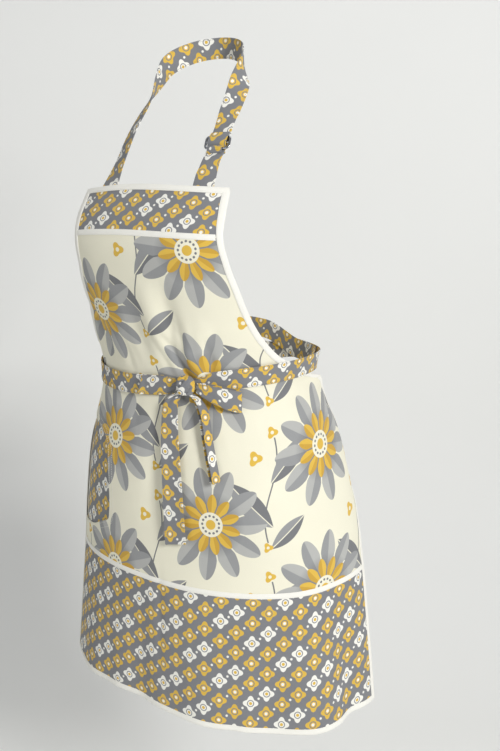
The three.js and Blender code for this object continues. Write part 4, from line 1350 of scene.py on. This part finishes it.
# %% A tree for stitches
def stitch_tree():
    tree = bpy.data.node_groups.new("stitch_rows", "GeometryNodeTree")
    face = tree.interface
    face.new_socket("Geometry", in_out="INPUT", socket_type="NodeSocketGeometry")
    for name in ("Pitch", "Stitch length", "Thread radius"):
        face.new_socket(name, in_out="INPUT", socket_type="NodeSocketFloat")
    face.new_socket("Thread", in_out="INPUT", socket_type="NodeSocketMaterial")
    face.new_socket("Geometry", in_out="OUTPUT", socket_type="NodeSocketGeometry")

    def node(kind, inputs=None, **settings):
        made = tree.nodes.new(kind)
        for name, value in settings.items():
            setattr(made, name, value)
        for key, value in (inputs or {}).items():
            if isinstance(value, bpy.types.NodeSocket):
                tree.links.new(value, made.inputs[key])
            else:
                made.inputs[key].default_value = value
        return made

    given = node("NodeGroupInput").outputs
    rows = node("GeometryNodeMeshToCurve", {"Mesh": given["Geometry"]})
    spacing = {"Curve": rows.outputs[0], "Length": given["Pitch"]}
    spaced = node("GeometryNodeResampleCurve", spacing, mode="LENGTH")
    tangent = node("GeometryNodeInputTangent")
    turn = node("FunctionNodeAlignRotationToVector", {"Vector": tangent.outputs[0]}, axis="Z")
    half = node("ShaderNodeMath", {0: given["Stitch length"], 1: 0.5}, operation="MULTIPLY")
    radius = given["Thread radius"]
    size = node("ShaderNodeCombineXYZ", {0: radius, 1: radius, 2: half.outputs[0]})
    stitch = node("GeometryNodeMeshUVSphere", {"Segments": 6, "Rings": 4, "Radius": 1.0})
    placed = node("GeometryNodeInstanceOnPoints", {
        "Points": spaced.outputs[0], "Instance": stitch.outputs[0], "Rotation": turn.outputs[0],
        "Scale": size.outputs[0]})
    real = node("GeometryNodeRealizeInstances", {0: placed.outputs[0]})
    soft = node("GeometryNodeSetShadeSmooth", {0: real.outputs[0]})
    thread = {"Geometry": soft.outputs[0], "Material": given["Thread"]}
    coloured = node("GeometryNodeSetMaterial", thread)
    node("NodeGroupOutput", {0: coloured.outputs[0]})
    return tree


stitches = stitch_tree()
print("stitch tree has", len(stitches.nodes), "nodes")

# %% Rows beside the pocket
POCKET_INSETS, THREAD_LIFT = (2.5, 9), 0.1


def pocket_rows():
    """Two rows beside the opening: its edge, moved out square to itself by each inset."""
    heights = np.unique(np.concatenate([np.linspace(POCKET_TOP, POCKET_BOTTOM, 120), tip_rows]))[::-1]
    reach = pocket_reach(heights)
    run_reach, run_height = np.gradient(reach), np.gradient(heights)
    run = np.hypot(run_reach, run_height)
    for inset in POCKET_INSETS:
        beside = reach - inset * run_height / run
        height = heights + inset * run_reach / run
        clear = beside > 2 * BINDING_WIDTH
        beside, height = beside[clear], height[clear]
        edge = side_edge["right"](height)
        angles = edge + degrees_for(beside, edge, height)
        yield cloth(angles, height, PANEL_CLOTH / 2 + THREAD_LIFT)


white_seams.extend(pocket_rows())
print(len(white_seams), "white rows and", len(grey_seams), "grey rows")

# %% Sew the rows
STITCH_PITCH, STITCH_LENGTH, THREAD_RADIUS = 3.0, 2.2, 0.24


def sew(name, rows, thread):
    points, edges = [], []
    for row in rows:
        edges += [(len(points) + i, len(points) + i + 1) for i in range(len(row) - 1)]
        points += (row * MM).tolist()
    mesh = bpy.data.meshes.new(name + "_rows")
    mesh.from_pydata(points, edges, [])
    holder = bpy.data.objects.new(name + "_rows", mesh)
    bpy.context.scene.collection.objects.link(holder)
    modifier = holder.modifiers.new("stitches", "NODES")
    modifier.node_group = stitches
    inputs = [item for item in stitches.interface.items_tree if item.in_out == "INPUT"]
    sockets = {item.name: item.identifier for item in inputs}
    modifier[sockets["Pitch"]] = STITCH_PITCH * MM
    modifier[sockets["Stitch length"]] = STITCH_LENGTH * MM
    modifier[sockets["Thread radius"]] = THREAD_RADIUS * MM
    modifier[sockets["Thread"]] = thread
    sewn = bpy.data.meshes.new_from_object(holder.evaluated_get(bpy.context.evaluated_depsgraph_get()))
    holder.modifiers.remove(modifier)
    bpy.data.objects.remove(holder)
    piece = bpy.data.objects.new(name, sewn)
    bpy.context.scene.collection.objects.link(piece)
    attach(piece, "root")
    print(name, len(rows), "rows,", len(sewn.polygons), "faces")
    return piece


white_stitching = sew("white_stitching", white_seams, white_thread)
grey_stitching = sew("grey_stitching", grey_seams, grey_thread)

# %% [markdown]
# ## What each cloth was cut to
#
# The panels, the facing, the straps, the ties and the bow's ends and loop say the flat sizes that they
# were cut to. The panels and bindings are measured along the worn form, and the straps along their
# routes. A sheet has two sides, so half of its surface is the cloth that it takes.

def cut_area(piece):
    """Half of a closed sheet's surface, in square metres."""
    return sum(polygon.area for polygon in piece.data.polygons) / 2


def cut(piece, width, length):
    area = min(cut_area(piece), width * length)
    print(piece.name, "cut", width, "x", length, "m, area", round(area, 4))


cut(body_panel, 0.56, 0.45)
cut(bib_band, 0.23, 0.056)
cut(hem_band, 0.62, 0.185)
cut(facing, 0.13, 0.175)
cut(neck_strap, STRAP_WIDTH * MM, 0.56)
cut(slider_strap, STRAP_WIDTH * MM, 0.12)
cut(tie_left, TIE_WIDTH * MM, 0.75)
cut(tie_right, TIE_WIDTH * MM, 0.7)
cut(loop, 0.026, 0.115)
cut(end_long, 0.025, 0.19)
cut(end_short, 0.03, 0.11)

# %% [markdown]
# ## Stage, light and camera
#
# The stage is a pale sweep, a floor that turns up into a wall, so that no line shows behind the apron.
# A plain wall would hide the apron's back from a camera behind it, so the sweep is clear from behind.
# Broad soft lamps light the apron from the front. The camera has the photograph's view: a little to
# the wearer's left, at chest height, tilted down.

# %% Camera
CAMERA_AZIMUTH, CAMERA_TILT, CAMERA_LENS, CAMERA_SENSOR = 30, 14.4, 44.34, 36
CAMERA_AT = (0.6371, -1.0328, -0.108)

camera = bpy.data.cameras.new("camera")
camera.lens, camera.sensor_width = CAMERA_LENS, CAMERA_SENSOR
viewer = bpy.data.objects.new("camera", camera)
viewer.location = CAMERA_AT
viewer.rotation_euler = (math.radians(90 - CAMERA_TILT), 0, math.radians(CAMERA_AZIMUTH))
bpy.context.scene.collection.objects.link(viewer)
bpy.context.scene.camera = viewer
print("camera at", CAMERA_AT, "turned", CAMERA_AZIMUTH, "degrees")

# %% Stage
FLOOR_Z, SWEEP_FRONT, SWEEP_BACK, SWEEP_SIDE, SWEEP_TOP, SWEEP_BEND = -1.25, -3.0, 0.9, 4.0, 3.0, 0.5
PAPER_SCALE, PAPER_ROUGHNESS = 1.4, 0.95


def studio_paper():
    finish = Finish("studio_paper")
    clouds = finish.noise(finish.object_place(), PAPER_SCALE, 2)
    tone = finish.blend(clouds, colour("#ebebe8"), colour("#f2f2ef"))
    behind = Field(finish, finish.node("ShaderNodeNewGeometry").outputs["Backfacing"])
    finish.set(base_color=tone, roughness=PAPER_ROUGHNESS, alpha=1 - behind)
    return finish.material


def sweep():
    profile = [(SWEEP_FRONT, FLOOR_Z)]
    for bend in np.linspace(0, math.pi / 2, 16):
        back = SWEEP_BACK - SWEEP_BEND + SWEEP_BEND * math.sin(bend)
        profile.append((back, FLOOR_Z + SWEEP_BEND * (1 - math.cos(bend))))
    profile.append((SWEEP_BACK, SWEEP_TOP))
    turn = math.radians(CAMERA_AZIMUTH)
    points = [(x * math.cos(turn) - y * math.sin(turn), x * math.sin(turn) + y * math.cos(turn), z)
              for y, z in profile for x in (-SWEEP_SIDE, SWEEP_SIDE)]
    faces = [(2 * i, 2 * i + 1, 2 * i + 3, 2 * i + 2) for i in range(len(profile) - 1)]
    mesh = bpy.data.meshes.new("sweep")
    mesh.from_pydata(points, [], faces)
    mesh.polygons.foreach_set("use_smooth", np.ones(len(faces), bool))
    mesh.materials.append(studio_paper())
    piece = bpy.data.objects.new("sweep", mesh)
    bpy.context.scene.collection.objects.link(piece)
    print("sweep of", len(faces), "faces, floor at", FLOOR_Z, "m")


sweep()

# %% Lamps
LAMPS = [
    ("key_lamp", (1.9, -1.0, 0.5), 0.6, 40),
    ("fill_lamp", (-0.6, -2.2, 0.2), 1.6, 8),
    ("wall_lamp", (0.2, 0.2, 1.9), 1.6, 7),
]
LAMP_AIM = np.array([0, -0.05, -0.45])
AIR_COLOUR, AIR_STRENGTH = (0.95, 0.97, 1.0, 1.0), 0.33


def lamp(name, at, size, power):
    light = bpy.data.lights.new(name, "AREA")
    light.shape, light.size, light.energy = "DISK", size, power
    holder = bpy.data.objects.new(name, light)
    holder.location = at
    direction = Vector(LAMP_AIM - np.array(at))
    holder.rotation_euler = direction.to_track_quat("-Z", "Y").to_euler()
    bpy.context.scene.collection.objects.link(holder)
    print(name, size, "m across,", power, "W")


for spec in LAMPS:
    lamp(*spec)
world = bpy.data.worlds.new("studio_air")
world.use_nodes = True
world.node_tree.nodes["Background"].inputs["Color"].default_value = AIR_COLOUR
world.node_tree.nodes["Background"].inputs["Strength"].default_value = AIR_STRENGTH
bpy.context.scene.world = world
bpy.context.scene.view_settings.view_transform = "Standard"

# %% Bring the scene up to date
bpy.context.view_layer.update()
